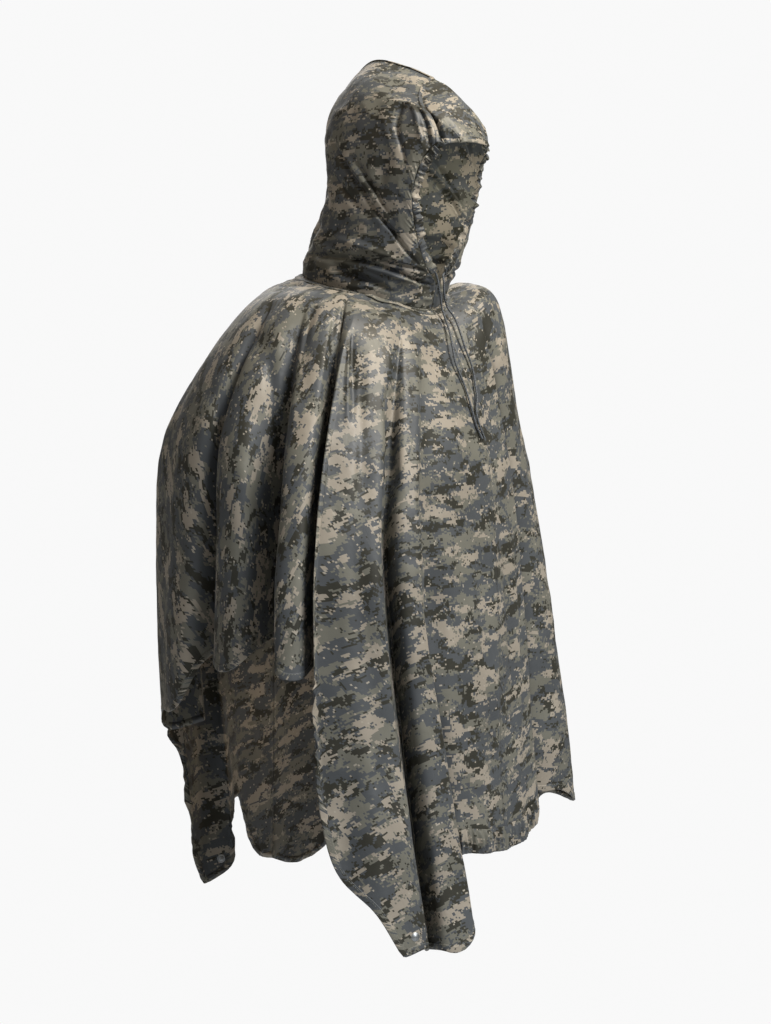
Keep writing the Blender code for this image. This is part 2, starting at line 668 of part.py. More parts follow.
def corner_columns(stands, folds, cut, hand):
    """The two columns between which a corner's snap lies: the corner's own and its neighbour."""
    before = sum(3 if fold.tuck else 1 for fold in folds if fold.cut < cut)
    if hand == 1:
        corner = stands[1 + before]
        return (corner - 1, corner) if cut < 90 else (corner, corner + 1)
    corner = stands[len(stands) - 1 - before]
    return (corner, corner + 1) if cut < 90 else (corner - 1, corner)


def snaps(grid, inner, stands):
    for side, folds, hand in (("right", RIGHT_FOLDS, 1), ("left", LEFT_FOLDS, -1)):
        snap("snap_front_" + side, grid, corner_columns(stands, folds, FRONT_CORNER_CUT, hand), False)
        snap("snap_back_" + side, inner, corner_columns(stands, folds, BACK_CORNER_CUT, hand), True)


def build():
    clear_scene()
    grid, stands, back = body_grid()
    normals = grid_normals(grid, closed=True)
    mitred = normals * mitres(grid)
    body_panels(grid, mitred, stands[back])
    count = len(grid)
    front_ends = (stands[-FRONT_BAND_ENDS[1]] - count, stands[FRONT_BAND_ENDS[0]])
    back_ends = (stands[back - BACK_BAND_ENDS[0]], stands[back + BACK_BAND_ENDS[1]])
    hem_band("hem_band_front", grid, normals, *front_ends)
    hem_band("hem_band_back", grid, normals, *back_ends)
    hood_panels()
    visor()
    face_casings()
    cord_end("drawcord_right", CORD_RIGHT)
    cord_end("drawcord_left", CORD_LEFT)
    snaps(grid, grid - mitred * WALL, stands)


build()
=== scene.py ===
"""Hooded rain poncho in printed coated nylon, worn and filled out, with nobody inside.

Units are metres. The front faces -Y and the wearer's right side is -X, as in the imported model.
The big sheet hangs on fold lines from the neck seam to the hem. Every piece of cloth here is a thin
shell on the form of its solid, with its creases, seams and hems added in their own sizes.
"""

import math
from collections import namedtuple

import bpy
import numpy as np
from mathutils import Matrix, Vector, noise
from mathutils.bvhtree import BVHTree


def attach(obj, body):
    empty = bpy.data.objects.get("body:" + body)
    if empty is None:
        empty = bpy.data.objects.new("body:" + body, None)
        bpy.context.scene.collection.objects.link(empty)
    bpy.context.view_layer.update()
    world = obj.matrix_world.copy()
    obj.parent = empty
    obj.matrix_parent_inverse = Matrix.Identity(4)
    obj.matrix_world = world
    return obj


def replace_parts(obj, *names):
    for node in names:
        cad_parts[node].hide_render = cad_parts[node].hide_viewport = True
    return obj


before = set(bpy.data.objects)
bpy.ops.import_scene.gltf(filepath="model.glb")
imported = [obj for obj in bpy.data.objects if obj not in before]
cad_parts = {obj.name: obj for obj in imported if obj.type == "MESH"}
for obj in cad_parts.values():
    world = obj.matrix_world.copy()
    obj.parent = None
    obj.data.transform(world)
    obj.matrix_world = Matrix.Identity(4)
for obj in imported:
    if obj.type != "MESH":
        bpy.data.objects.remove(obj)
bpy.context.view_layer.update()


def table(kind, plain, rows):
    """Rows of numbers, each as one of the named kind. plain names the columns that are directions or
    shares. The others are lengths, in millimetres in the table and in metres when read."""
    return [kind(*(value if name in plain.split() else value / 1000
                   for name, value in zip(kind._fields, row))) for row in rows]


# Camera of the photograph: how far round, how far off, how high, and where the upright middle line
# and the level of the lens fall in the picture
VIEW_TURN = -50.0
VIEW_DISTANCE = 3.0
VIEW_HEIGHT = -0.144
PICTURE_WIDTH = 771
PICTURE_HEIGHT = 1024
FOCAL_PIXELS = 1875.0
AXIS_PIXEL = 373.0
LEVEL_PIXEL = 380.0
SENSOR = 36.0

# Cut of the flat cloth and its seams
CUT_HALF_WIDTH = 0.7875
CUT_FRONT = 0.980
CUT_BACK = 1.103
NECK_CUT = 0.112
SEAM_GAP = 0.0003
CLOTH_THICKNESS = 0.0005
BAND_HEIGHT = 0.038

# Levels of the fold lines, as in the solids
MID_Z = -0.40
YOKE_FOLD_SHARE = 0.12
ARM_FOLD_SHARE = 0.48
ARM_TURN_SHARE = 0.85
YOKE_TURN_SHARE = 0.40
TUCK_SHARES = (0.0, 0.0, 0.35, 0.75, 1.0)  # how far in a tuck lies at each level, of its whole depth
TUCK_DEEP = 1.42  # the thin cloth folds in further than its solid, which leaves the inside clear
SHALLOW_TUCK = 0.04
TUCK_LIFT = 0.45  # share of its depth beyond a shallow tuck's by which a tuck's edge hangs higher
TUCK_SLACK = 0.12  # share of the drape and crumple that the cloth inside a tuck takes

# Fineness of the cloth shells
BODY_ROWS = 118
BODY_STEP = 0.0085
AT_CORNER = 0.6  # degrees on the flat from a corner of the rectangle within which a fold line is at it
CORNER_LEVELS = (0.80, 1.0)  # shares of the way down between which the cloth by a corner gets straight

# Form that the shoulders and arms give the cloth, by direction from the neck. The turn is in
# degrees from straight ahead towards the wearer's right. Each pair is a distance out and a height.
Section = namedtuple("Section", "turn neck neck_z yoke yoke_z arm arm_z waist")
SECTIONS = table(Section, "turn", [
    (0, 118, -34, 152, -92, 204, -225, 222),
    (35, 112, -25, 176, -65, 248, -225, 285),
    (60, 107, -12, 196, -38, 292, -218, 335),
    (90, 105, 0, 210, -22, 322, -215, 342),
    (120, 108, 14, 195, -18, 333, -215, 350),
    (145, 113, 24, 175, -11, 287, -215, 318),
    (180, 118, 30, 165, -12, 222, -210, 232),
    (215, 113, 22, 185, -12, 262, -215, 280),
    (240, 108, 15, 205, -8, 292, -215, 310),
    (270, 105, 10, 216, 0, 282, -215, 308),
    (300, 107, 6, 197, 3, 247, -220, 280),
    (325, 112, -12, 176, -18, 219, -225, 248),
])

# Fold lines, from the front seam round to the back seam. cut is the direction of the line on the
# flat cloth in degrees from straight ahead. side and fore are distances out to that half's own side
# and to the front, at the middle level and at the edge of the cloth. tuck is how deep the cloth folds
# in behind the line at the edge, lip is how far its two lips stand from the line, and rise is how much
# higher its edge hangs. The corners of the rectangle lie at the two corner directions.
FRONT_CORNER_CUT = math.degrees(math.atan2(CUT_HALF_WIDTH, CUT_FRONT))
BACK_CORNER_CUT = 180.0 - math.degrees(math.atan2(CUT_HALF_WIDTH, CUT_BACK))
CORNERS = (FRONT_CORNER_CUT, BACK_CORNER_CUT)
Fold = namedtuple("Fold", "cut mid_side mid_fore hem_side hem_fore hem_z tuck lip rise",
                  defaults=(0.0045, 0.012))
FRONT_SEAM, BACK_SEAM = table(Fold, "cut", [
    (0, -28, 222, -35, 238, -874, 0),
    (180, -12, -230, -12, -227, -958, 0),
])
RIGHT_FOLDS = table(Fold, "cut", [
    (8, 30, 225, 20, 243, -867, 0),
    (13, 95, 230, 88, 238, -858, 0),
    (17, 150, 218, 105, 175, -895, 0),
    (22, 186, 243, 122, 298, -953, 0),
    (25, 198, 238, 154, 297, -983, 0),
    (30, 226, 217, 192, 279, -972, 40, 12, -14),
    (36, 247, 224, 228, 294, -955, 0),
    (38.8, 277, 204, 261, 278, -966, 0),
    (42, 292, 194, 288, 256, -904, 0),
    (46, 305, 180, 322, 212, -851, 0),
    (50, 318, 167, 336, 186, -740, 0),
    (53, 324, 167, 342, 183, -610, 0),
    (61, 332, 159, 346, 169, -570, 125, 8),
    (70, 350, 117, 372, 134, -565, 0),
    (77.5, 316, 64, 326, 74, -535, 100, 22),
    (85, 346, 24, 356, 22, -570, 0),
    (92, 324, -42, 318, -55, -560, 90, 10),
    (99, 335, -89, 346, -101, -640, 0),
    (107, 291, -195, 302, -175, -655, 0),
    (115.5, 250, -224, 282, -186, -692, 50, 10),
    (124, 222, -243, 251, -182, -733, 0),
    (130, 198, -248, 260, -156, -840, 0),
    (136.5, 178, -238, 250, -162, -888, 0),
    (144.5, 158, -252, 234, -152, -940, 0),
    (150, 135, -248, 196, -130, -918, 0),
    (154, 122, -242, 184, -142, -852, 0),
    (159, 100, -235, 95, -212, -831, 0),
    (166, 65, -232, 58, -222, -911, 0),
    (173, 25, -230, 28, -225, -948, 0),
])
LEFT_FOLDS = table(Fold, "cut", [
    (8, 90, 204, 90, 229, -872, 0),
    (13, 118, 196, 150, 214, -852, 0),
    (20, 136, 188, 176, 198, -815, 85),
    (26.5, 185, 192, 222, 215, -812, 0),
    (31, 247, 161, 282, 203, -846, 0),
    (35, 283, 118, 305, 118, -846, 0),
    (38.8, 290, 88, 321, 43, -942, 0),
    (44, 298, 55, 342, 5, -800, 0),
    (50, 306, 35, 340, -10, -680, 0),
    (53, 310, 25, 338, -20, -600, 0),
    (61, 308, 8, 330, -30, -570, 120),
    (70, 325, -20, 350, -55, -580, 0),
    (77, 300, -60, 308, -90, -545, 100),
    (84.5, 325, -95, 342, -120, -585, 0),
    (91, 295, -128, 300, -148, -560, 100),
    (99, 298, -165, 320, -190, -620, 0),
    (107, 258, -198, 280, -230, -640, 0),
    (115.5, 225, -208, 230, -225, -700, 110),
    (124, 205, -228, 235, -262, -780, 0),
    (130, 185, -238, 225, -275, -850, 0),
    (136.5, 168, -232, 203, -262, -910, 60),
    (144.5, 148, -245, 185, -270, -955, 0),
    (153, 125, -232, 140, -210, -945, 0),
    (164, 90, -235, 90, -228, -975, 0),
    (172, 45, -235, 40, -230, -973, 0),
])
FRONT_BAND_ENDS = (2, 2)  # fold lines right and left of the front seam where the elastic ends
BACK_BAND_ENDS = (1, 2)

# Ribs of one hood half, from the neck seam up and forward over the crown to the visor's edge: a
# point on the face edge, the widest point at the side and a point on the centre seam.
Rib = namedtuple("Rib", "face_x face_y face_z side_x side_y side_z seam_y seam_z")
HOOD_RIBS = table(Rib, "", [
    (0.4, -121, -33, 107, 0, -1, 119, 30),
    (2, -128, 4, 108, -4, 25, 113, 52),
    (30, -133, 26, 107, -10, 52, 100, 82),
    (58, -137, 66, 105, -20, 95, 75, 125),
    (80, -143, 128, 102, -28, 155, 63, 178),
    (80, -154, 170, 100, -36, 212, 69, 232),
    (73, -164, 194, 93, -55, 262, 59, 299),
    (68, -171, 204, 81, -100, 278, 3, 356),
    (66, -177, 209, 71, -140, 268, -71, 341),
])
VISOR_RIBS = table(Rib, "", [
    (63, -180, 211, 63, -161, 255, -120, 320),
    (60, -183, 211.5, 54, -181, 245, -168, 290),
    (56, -186, 212, 42, -195, 228, -191, 250),
    (53, -188, 212, 33, -203, 212.5, -208, 213),
])

# Drawcord: a gathered casing round the face and two free ends on the chest
CASING_WIDTH = 0.015
CASING_DEPTH = 0.0055
CASING_CLEAR = 0.0009
CASING_START = 0.21  # share of the face edge below the casing, where the two fronts of the hood meet
CASING_END = 0.985
CASING_SINK = 0.00075  # how far its middle lies behind the outer face of the hood
CASING_PUCKER = 0.50  # puckers as a share of its thickness, with their size along it
CASING_PUCKER_SIZE = 0.0125
CASING_FINE = 0.12
CASING_FINE_SIZE = 0.0060
CASING_SWAY = np.array([0.0022, 0.0016])  # how far it wanders, in towards the face and outwards
CORD_DIAMETER = 0.0032
CORD_CLEAR = (0.008, 0.040)  # distances from a cord between which the relief of the cloth rises
CORD_RIGHT = [
    (-0.0124, -0.1345, 0.0226), (-0.0088, -0.1338, 0.0200), (-0.0065, -0.1362, 0.0100),
    (-0.0030, -0.1355, -0.0020),
    (0.0025, -0.1345, -0.0155), (0.0085, -0.1325, -0.0330), (0.0098, -0.1378, -0.0485),
    (0.0034, -0.1510, -0.0680), (-0.0055, -0.1645, -0.0940), (-0.0081, -0.1722, -0.1180),
    (-0.0035, -0.1795, -0.1390), (-0.0004, -0.1850, -0.1555), (-0.0014, -0.1934, -0.1743),
    (-0.0006, -0.2002, -0.1948), (0.0029, -0.2050, -0.2154), (0.0113, -0.2095, -0.2339),
]
CORD_LEFT = [
    (0.0124, -0.1345, 0.0226), (0.0088, -0.1338, 0.0200), (0.0080, -0.1362, 0.0100),
    (0.0090, -0.1360, -0.0020),
    (0.0120, -0.1350, -0.0150), (0.0190, -0.1355, -0.0320), (0.0228, -0.1455, -0.0460),
    (0.0226, -0.1590, -0.0740), (0.0250, -0.1665, -0.0970), (0.0288, -0.1725, -0.1144),
    (0.0299, -0.1778, -0.1317), (0.0262, -0.1845, -0.1524), (0.0211, -0.1920, -0.1712),
    (0.0086, -0.1997, -0.1923), (0.0108, -0.2050, -0.2150), (0.0172, -0.2092, -0.2330),
]

# Creases on the body, as soft troughs (depth above zero) and ridges (below zero). Both
# ends are places on the flat cloth: degrees round from straight ahead, towards the wearer's right
# above zero and left below, and how far out from the neck's middle. wide is the distance from the
# middle of a crease to its foot.
Crease = namedtuple("Crease", "turn_a reach_a turn_b reach_b wide depth")
CREASES = table(Crease, "turn_a turn_b", [
    # the sharp fold on the wearer's right of the chest, with its bright edge and dark side
    (53, 262, 46.3, 385, 7.5, -4.2),
    (50.6, 262, 44, 385, 10, 6.2),
    (46, 285, 41, 400, 18, 5),
    # the dent where the long front valley begins
    (35.2, 300, 34.6, 375, 11, 6.5),
    (34, 330, 27, 480, 16, 4.5),
    (40.5, 395, 37.6, 540, 20, 4.5),
    (36.9, 450, 36.9, 790, 24, -5.5),
    (34.2, 550, 34.6, 730, 15, 6),
    (22.6, 480, 13.9, 790, 22, -6),
    (18, 420, 16, 620, 20, 4.5),
    (11.8, 850, 5, 930, 11, 5),
    # the front below the chest
    (6, 520, 4, 820, 26, 5.5),
    (-4.5, 420, -6.5, 760, 20, 5),
    (-9.5, 500, -9, 840, 20, -5),
    # the far shoulder and side
    (-33.5, 190, -25.5, 260, 8, 6),
    (-22, 300, -17, 470, 14, 5.5),
    (-31, 520, -30, 860, 20, 5.5),
    (-45, 300, -42, 640, 18, 6),
    (-57, 260, -52, 540, 20, 5.5),
    (-70, 240, -72, 480, 18, 6),
    (-86, 220, -84, 500, 20, 5.5),
    (-104, 230, -110, 470, 20, 6),
    # the near shoulder and side
    (73, 215, 69.5, 420, 11, 6.5),
    (66, 230, 62, 360, 13, 4.5),
    (94, 235, 78, 470, 11, 5),
    (99.5, 380, 88, 570, 11, 5),
    (83.5, 300, 83.2, 560, 16, 4.5),
    (112, 260, 104, 520, 16, 5.5),
    (58, 300, 55, 520, 17, 4.5),
    # the back, which hangs from the shoulder blades
    (150, 240, 146, 560, 20, 6),
    (163, 300, 166, 760, 24, 6.5),
    (176, 360, 174, 880, 26, 5.5),
    (-166, 280, -168, 700, 24, 6.5),
    (-152, 240, -149, 560, 20, 6),
    (-135, 250, -132, 520, 18, 5),
    (170, 860, 176, 1000, 16, 4.5),
    # just under the neck seam, where the hood's weight presses the cloth
    (68, 130, 22, 126, 4, -3.6),
    (66, 139, 26, 135, 4.5, 4.2),
    (65, 132, 58.5, 350, 6, 4.8),
    (-18, 130, -62, 132, 5, 4),
    (140, 134, 172, 130, 5.5, 4),
    (-172, 840, -176, 1000, 16, 4.5),
])
SOFTEN_PASSES = 5  # how often the corners of the folds are rounded
CORNER_FIRM = 0.10  # how much of that the corners of the sheet take
CORNER_DOWN = (0.82, 0.96)  # shares of the way down between which they get firm
CORNER_NEAR = (1.0, 3.0)  # degrees on the flat from a corner between which the cloth gets loose again
SEAM_RIDGE = 0.0007
SEAM_HALF = 0.0040

# Drape and crumple of the thin cloth: size across and along a fold in metres, and height
DRAPE_SIZE = (0.060, 0.42)
DRAPE_HEIGHT = 0.0050
DRAPE_REACH = (0.20, 0.75)  # distances from the neck's middle between which it grows from a quarter
CRUMPLE_SIZE = 0.045
CRUMPLE_PATCH = 0.16  # size of the patches in which the crumple comes and goes
CRUMPLE_HEIGHT = 0.0012
NECK_CRUMPLE = 0.0060  # where the hood's weight presses the cloth, on the body and on the hood
NECK_CRUMPLE_SIZE = (0.040, 0.040, 0.030)
FINE_SIZE = 0.016
FINE_HEIGHT = 0.0003

# Bands, hems, seams and stitches
FRONT_GATHERS = 26
BACK_GATHERS = 18
GATHER_HEIGHT = 0.0034
GATHER_FADE = 0.030
BAND_PUCKER = 0.0044
BAND_LIFT = 0.0012
BAND_RISES = np.array([1.0, 0.985, 0.93, 0.85, 0.7, 0.5, 0.3, 0.15, 0.05, 0.0])  # shares up the band
HEM_PUCKER = 0.0016
HEM_PUCKER_SIZE = 0.011
HEM_PUCKER_FADE = 0.028
HEM_WIDTH = 0.011
HEM_HEIGHT = 0.0006
NECK_ROW = 1  # row of the body's grid on which the neck seam lies
STITCH_PITCH = 0.0042
STITCH_WIDTH = 0.0009
STITCH_HEIGHT = 0.0004
NECK_STITCH_OFF = (-0.0032, 0.0032)  # the two rows, from the middle of the neck seam
NECK_STITCH_RISE = 0.00115
HEM_STITCH_IN = 0.002  # from the inner side of the turned hem to its row of stitches
NECK_SEAM = (0.009, 0.0012)  # width and height of each sewn strip
HOOD_SEAM = (0.007, 0.0010)
VISOR_HEM = (0.010, 0.0008)
VISOR_SEAM = (0.007, 0.0010)
# Outline of a low rounded strip: shares across its width, and of its height
STRIP_SIDES = np.array([-0.5, -0.47, -0.36, 0.0, 0.36, 0.47, 0.5])
STRIP_RISES = np.array([0.0, 0.55, 0.95, 1.0, 0.95, 0.55, 0.0])

# Folds of the hood: both ends as shares across, from the face edge to the centre seam, and up,
# from the neck to the visor. hand is 0 for both halves, 1 for the right and -1 for the left.
HoodFold = namedtuple("HoodFold", "hand across_a up_a across_b up_b wide depth")
HOOD_FOLDS = table(HoodFold, "hand across_a up_a across_b up_b", [
    # on the wearer's right, from the back of the head down to the throat
    (1, 0.62, 0.525, 0.34, 0.41, 7.5, 8.5),
    (1, 0.37, 0.415, 0.14, 0.335, 7, 7),
    (1, 0.55, 0.51, 0.28, 0.44, 10, -3),
    (1, 0.48, 0.54, 0.22, 0.43, 6.5, 7.2),
    (1, 0.63, 0.415, 0.36, 0.35, 10, 5),
    (1, 0.48, 0.3, 0.56, 0.15, 12, 5),
    (1, 0.22, 0.37, 0.07, 0.275, 8, 6),
    # round the neck, where the hood sinks under its own weight
    (1, 0.64, 0.096, 0.4, 0.14, 6.5, 9),
    (1, 0.46, 0.136, 0.19, 0.168, 6, 10.5),
    (1, 0.25, 0.167, 0.02, 0.125, 6, 10),
    (1, 0.5, 0.079, 0.23, 0.053, 6.5, 8),
    (1, 0.34, 0.185, 0.05, 0.232, 7.5, 6.5),
    (1, 0.56, 0.185, 0.16, 0.238, 11, -5),
    (1, 0.52, 0.102, 0.26, 0.07, 8, 5.5),
    (1, 0.4, 0.125, 0.12, 0.14, 9, -4),
    # beside the crown and at the pleat of the visor
    (1, 0.46, 0.88, 0.18, 0.75, 8.5, 6),
    (1, 0.54, 0.85, 0.26, 0.71, 14, -2.2),
    (1, 0.3, 0.66, 0.3, 0.51, 14, 4),
    (1, 0.62, 0.75, 0.51, 0.62, 20, 3.5),
    (1, 0.52, 0.955, 0.04, 0.95, 6.5, 7.5),
    (1, 0.52, 0.915, 0.05, 0.905, 7.5, -3),
    # on the wearer's left, like those on the right but in other places
    (-1, 0.58, 0.5, 0.22, 0.39, 10, 7.5),
    (-1, 0.52, 0.56, 0.24, 0.46, 10, 6),
    (-1, 0.5, 0.52, 0.26, 0.43, 10, -4),
    (-1, 0.62, 0.12, 0.28, 0.15, 10, 8),
    (-1, 0.34, 0.15, 0.06, 0.2, 9, 7.5),
    (-1, 0.56, 0.19, 0.18, 0.225, 11, -4.5),
    (-1, 0.44, 0.87, 0.2, 0.74, 11, 5.5),
    (-1, 0.5, 0.95, 0.06, 0.945, 7, 6),
    # up the back of the head, on both sides of the seam
    (0, 0.72, 0.18, 0.8, 0.44, 16, 5),
    (0, 0.8, 0.06, 0.7, 0.2, 14, 5.5),
    (0, 0.62, 0.28, 0.78, 0.34, 14, 4.5),
])
FACE_GATHER = 0.0019  # height, spacing and reach of the gathers that run out from the casing
FACE_GATHER_SIZE = 0.0150
FACE_GATHER_FADE = 0.016
HOOD_CRUMPLE = 0.0030
HOOD_CRUMPLE_SIZE = (0.055, 0.055, 0.075)  # of its soft crumple
HOOD_FINE_SIZE = 0.034  # of the sharper one on top of it
HOOD_NECK_SIZE = (0.045, 0.045, 0.026)  # of the one by the neck
HEAD_MIDDLE = np.array([0.0, -0.03, 0.15])
HOOD_STEPS = 100
HOOD_RISE = 190
VISOR_RISE = 40
# Crumple of the visor, as height, size and shift of its noise. Dents in it, as share of the way
# across, half width as such a share, depth, and share of the way up at which they are full.
VISOR_CRUMPLE = ((0.0022, 0.035, 4.4), (0.0012, 0.018, 8.1))
VISOR_DENTS = ((0.72, 0.05, 0.0035, 0.5), (0.30, 0.06, 0.0025, 0.6))
PLEAT_WIDE = 0.0090  # from the joint to the bottom of the visor's pleat, at its wide end
PLEAT_DEEP = 0.0085
HOOD_PRINT_SHIFT = 0.9  # so that the hood's print isn't the body's
FLAT_PASSES = 160  # how often the flat places of the hood are eased, and how hard each time
FLAT_PULL = 0.16
CASING_RINGS = 260
CASING_SIDES = 20
CORD_POINTS = 36
HOOD_CUT = (0.300, 0.420)  # across and up

SNAP_SIDES = 40
# Turned outline of a snap cap, from its foot to the middle of its dome: radius and height
SNAP_PROFILE = np.array([
    (6.4, -0.4), (6.6, 0.3), (6.4, 0.9), (5.8, 1.3), (5, 1.3), (4.7, 0.9), (4.4, 0.9), (4.1, 1.4),
    (3.4, 1.9), (2.2, 2.2), (1, 2.3), (0.2, 2.3),
]) / 1000

# Printed squares, spacing of threads and of a cord's strands, and crinkle, in metres
PRINT_SQUARE = 0.0024
THREAD = 0.0012
STRAND = 0.0028
CRINKLE_STRENGTH = 0.35
CRINKLE_SIZE = 0.018
CRINKLE_DEPTH = 0.0016
PRINT_SQUEEZE = 0.3  # least share of its width that cloth seen edge on counts for
ROUGH_LOW = 0.45
ROUGH_HIGH = 0.58

# Colours as sRGB hex
SLATE = "414549"
STAGE_WHITE = "dadce0"

# Colours printed over the slate ground: colour, width and height of its blotches, how much of it is
# left out, where it starts and how ragged its edge is
PRINT_LAYERS = [
    ("5f5f58", (0.066, 0.029), 0.520, 3.1, 5.5),
    ("2a2a24", (0.058, 0.026), 0.558, 11.7, 5.5),
    ("857f75", (0.064, 0.028), 0.570, 23.4, 5.5),
    ("5f5f58", (0.017, 0.010), 0.66, 31.9, 3.0),
    ("414549", (0.022, 0.014), 0.65, 41.3, 3.0),
    ("8f8a80", (0.011, 0.008), 0.70, 57.7, 3.0),
    ("2a2a24", (0.015, 0.011), 0.68, 67.2, 3.0),
]

# Studio: name, turn round the garment, rise above level, width of the soft panel as seen from the
# garment in degrees, strength and colour
LIGHTS = [
    ("key", 1.0, 38.0, 30.0, 3.30, (0.97, 0.985, 1.0)),
    ("window", -84.0, 14.0, 20.0, 0.17, (0.84, 0.92, 1.0)),
    ("top", 40.0, 84.0, 60.0, 0.75, (1.0, 0.90, 0.74)),
    ("back", 135.0, 28.0, 50.0, 1.15, (1.0, 0.98, 0.95)),
]
ROOM_COLOUR = (1.0, 0.92, 0.80, 1.0)
# Soft lamps: name, middle, radius, power and colour
LAMPS = [
    ("hood_lamp", (0.0, -0.070, 0.125), 0.045, 0.56, (1.0, 0.95, 0.82)),
    ("inside_lamp", (-0.02, 0.02, -0.72), 0.060, 0.42, (1.0, 0.74, 0.48)),
    ("warm_lamp", (-1.00, 0.35, 1.05), 0.25, 6.5, (1.0, 0.66, 0.34)),
    ("ceiling_lamp", (0.10, -1.15, 1.20), 0.30, 115.0, (1.0, 0.87, 0.68)),
]
ROOM_LIGHT = 0.16  # strength of the light that comes evenly from all sides
BACKDROP = 0.945  # brightness of the plain wall behind
FLOOR_Z = -6.80  # far below, because the photograph shows no floor
FLOOR_RADIUS = 14.0


def linear(colour, alpha=1.0):
    """sRGB hex to the linear values that a shader takes."""
    made = []
    for k in (0, 2, 4):
        part = int(colour[k:k + 2], 16) / 255.0
        made.append(part / 12.92 if part <= 0.04045 else ((part + 0.055) / 1.055) ** 2.4)
    return (*made, alpha)


def feed(tree, socket, value):
    """Sets a socket, or links it to the one that feeds it."""
    if isinstance(value, bpy.types.NodeSocket):
        tree.links.new(value, socket)
    else:
        socket.default_value = value


def node(tree, kind, links=(), **settings):
    """One shader node with its settings. links are pairs of an input and what feeds or sets it."""
    made = tree.nodes.new(kind)
    for name, value in settings.items():
        setattr(made, name, value)
    for name, value in links:
        feed(tree, made.inputs[name], value)
    return made


def between(p0, p1, p2, p3, share):
    """A point at this share of the way from p1 to p2, on the smooth curve through all four."""
    gaps = [np.sqrt(np.linalg.norm(b - a, axis=-1, keepdims=True) + 1e-9)
            for a, b in ((p0, p1), (p1, p2), (p2, p3))]
    t1 = gaps[0]
    t2 = t1 + gaps[1]
    t3 = t2 + gaps[2]
    t = t1 + (t2 - t1) * share
    a1 = p0 + (p1 - p0) * t / t1
    a2 = p1 + (p2 - p1) * (t - t1) / (t2 - t1)
    a3 = p2 + (p3 - p2) * (t - t2) / (t3 - t2)
    b1 = a1 + (a2 - a1) * t / t2
    b2 = a2 + (a3 - a2) * (t - t1) / (t3 - t1)
    return b1 + (b2 - b1) * (t - t1) / (t2 - t1)


def along(points, shares):
    """Points at these shares of the length of a smooth open curve through the given points."""
    points = np.asarray(points, float)
    ends = np.vstack([2 * points[0] - points[1], points, 2 * points[-1] - points[-2]])
    steps = np.linalg.norm(np.diff(points, axis=0), axis=1)
    marks = np.concatenate([[0.0], np.cumsum(steps)]) / steps.sum()
    made = []
    for share in shares:
        k = min(int(np.searchsorted(marks, share, side="right")) - 1, len(points) - 2)
        local = (share - marks[k]) / (marks[k + 1] - marks[k])
        made.append(between(*ends[k:k + 4], local))
    return np.array(made)


def spread(values, marks, shares):
    """Rows of values known at the marks, read off straight between them at the shares."""
    columns = [np.interp(shares, marks, column) for column in values.T]
    return np.stack(columns, axis=1)


def run_along(path):
    """How far each point of a path lies from its start. It also takes many paths side by side."""
    steps = np.linalg.norm(np.diff(path, axis=0), axis=-1)
    return np.concatenate([np.zeros_like(steps[:1]), np.cumsum(steps, axis=0)])


def eased(values, low, high):
    """0 below low, 1 above high and a smooth rise between."""
    share = np.clip((values - low) / (high - low), 0.0, 1.0)
    return share * share * (3 - 2 * share)


def pairs(first, second):
    """Two arrays of numbers, spread to one shape, as pairs."""
    return np.stack(np.broadcast_arrays(first, second), axis=-1)


def unit(values):
    return values / np.maximum(np.linalg.norm(values, axis=-1, keepdims=True), 1e-12)


def square_to(values, ahead):
    """Unit vectors nearest to the given ones that stand square to the directions ahead."""
    return unit(values - ahead * np.sum(values * ahead, axis=1, keepdims=True))


def section_at(turn):
    """The shoulder form in one direction, smoothly between the rows of the table."""
    turn = turn % 360.0
    count = len(SECTIONS)
    rows = [np.array(section) for section in SECTIONS]
    k = max(i for i in range(count) if SECTIONS[i].turn <= turn)
    after = SECTIONS[k + 1].turn if k + 1 < count else 360.0
    share = (turn - SECTIONS[k].turn) / (after - SECTIONS[k].turn)
    values = [rows[(k + i) % count][1:] for i in (-1, 0, 1, 2)]
    slope_a = (values[2] - values[0]) / 2
    slope_b = (values[3] - values[1]) / 2
    s2 = share * share
    s3 = s2 * share
    mixed = ((2 * s3 - 3 * s2 + 1) * values[1] + (s3 - 2 * s2 + share) * slope_a
             + (3 * s2 - 2 * s3) * values[2] + (s3 - s2) * slope_b)
    return Section(turn, *mixed)


def out_from_neck(turn, reach, height):
    angle = math.radians(turn)
    return np.array([-reach * math.sin(angle), -reach * math.cos(angle), height])


def turn_of(point):
    return math.degrees(math.atan2(-point[0], -point[1]))


def nearest_turn(turn, other):
    """The same direction as turn, written within half a round of other."""
    return other + (turn - other + 180.0) % 360.0 - 180.0


def fold_line(fold, hand):
    """Five points down one fold line. hand is 1 on the wearer's right and -1 on the left."""
    mid = np.array([-hand * fold.mid_side, -fold.mid_fore, MID_Z])
    hem = np.array([-hand * fold.hem_side, -fold.hem_fore, fold.hem_z])
    cut_turn = hand * fold.cut
    away = nearest_turn(turn_of(mid), cut_turn) - cut_turn
    depth = math.hypot(mid[0], mid[1]) - section_at(cut_turn + away).waist
    yoke_turn = cut_turn + away * YOKE_TURN_SHARE
    arm_turn = cut_turn + away * ARM_TURN_SHARE
    neck, yoke, arm = section_at(cut_turn), section_at(yoke_turn), section_at(arm_turn)
    return np.array([
        out_from_neck(cut_turn, neck.neck, neck.neck_z),
        out_from_neck(yoke_turn, yoke.yoke + depth * YOKE_FOLD_SHARE, yoke.yoke_z),
        out_from_neck(arm_turn, arm.arm + depth * ARM_FOLD_SHARE, arm.arm_z),
        mid,
        hem,
    ])


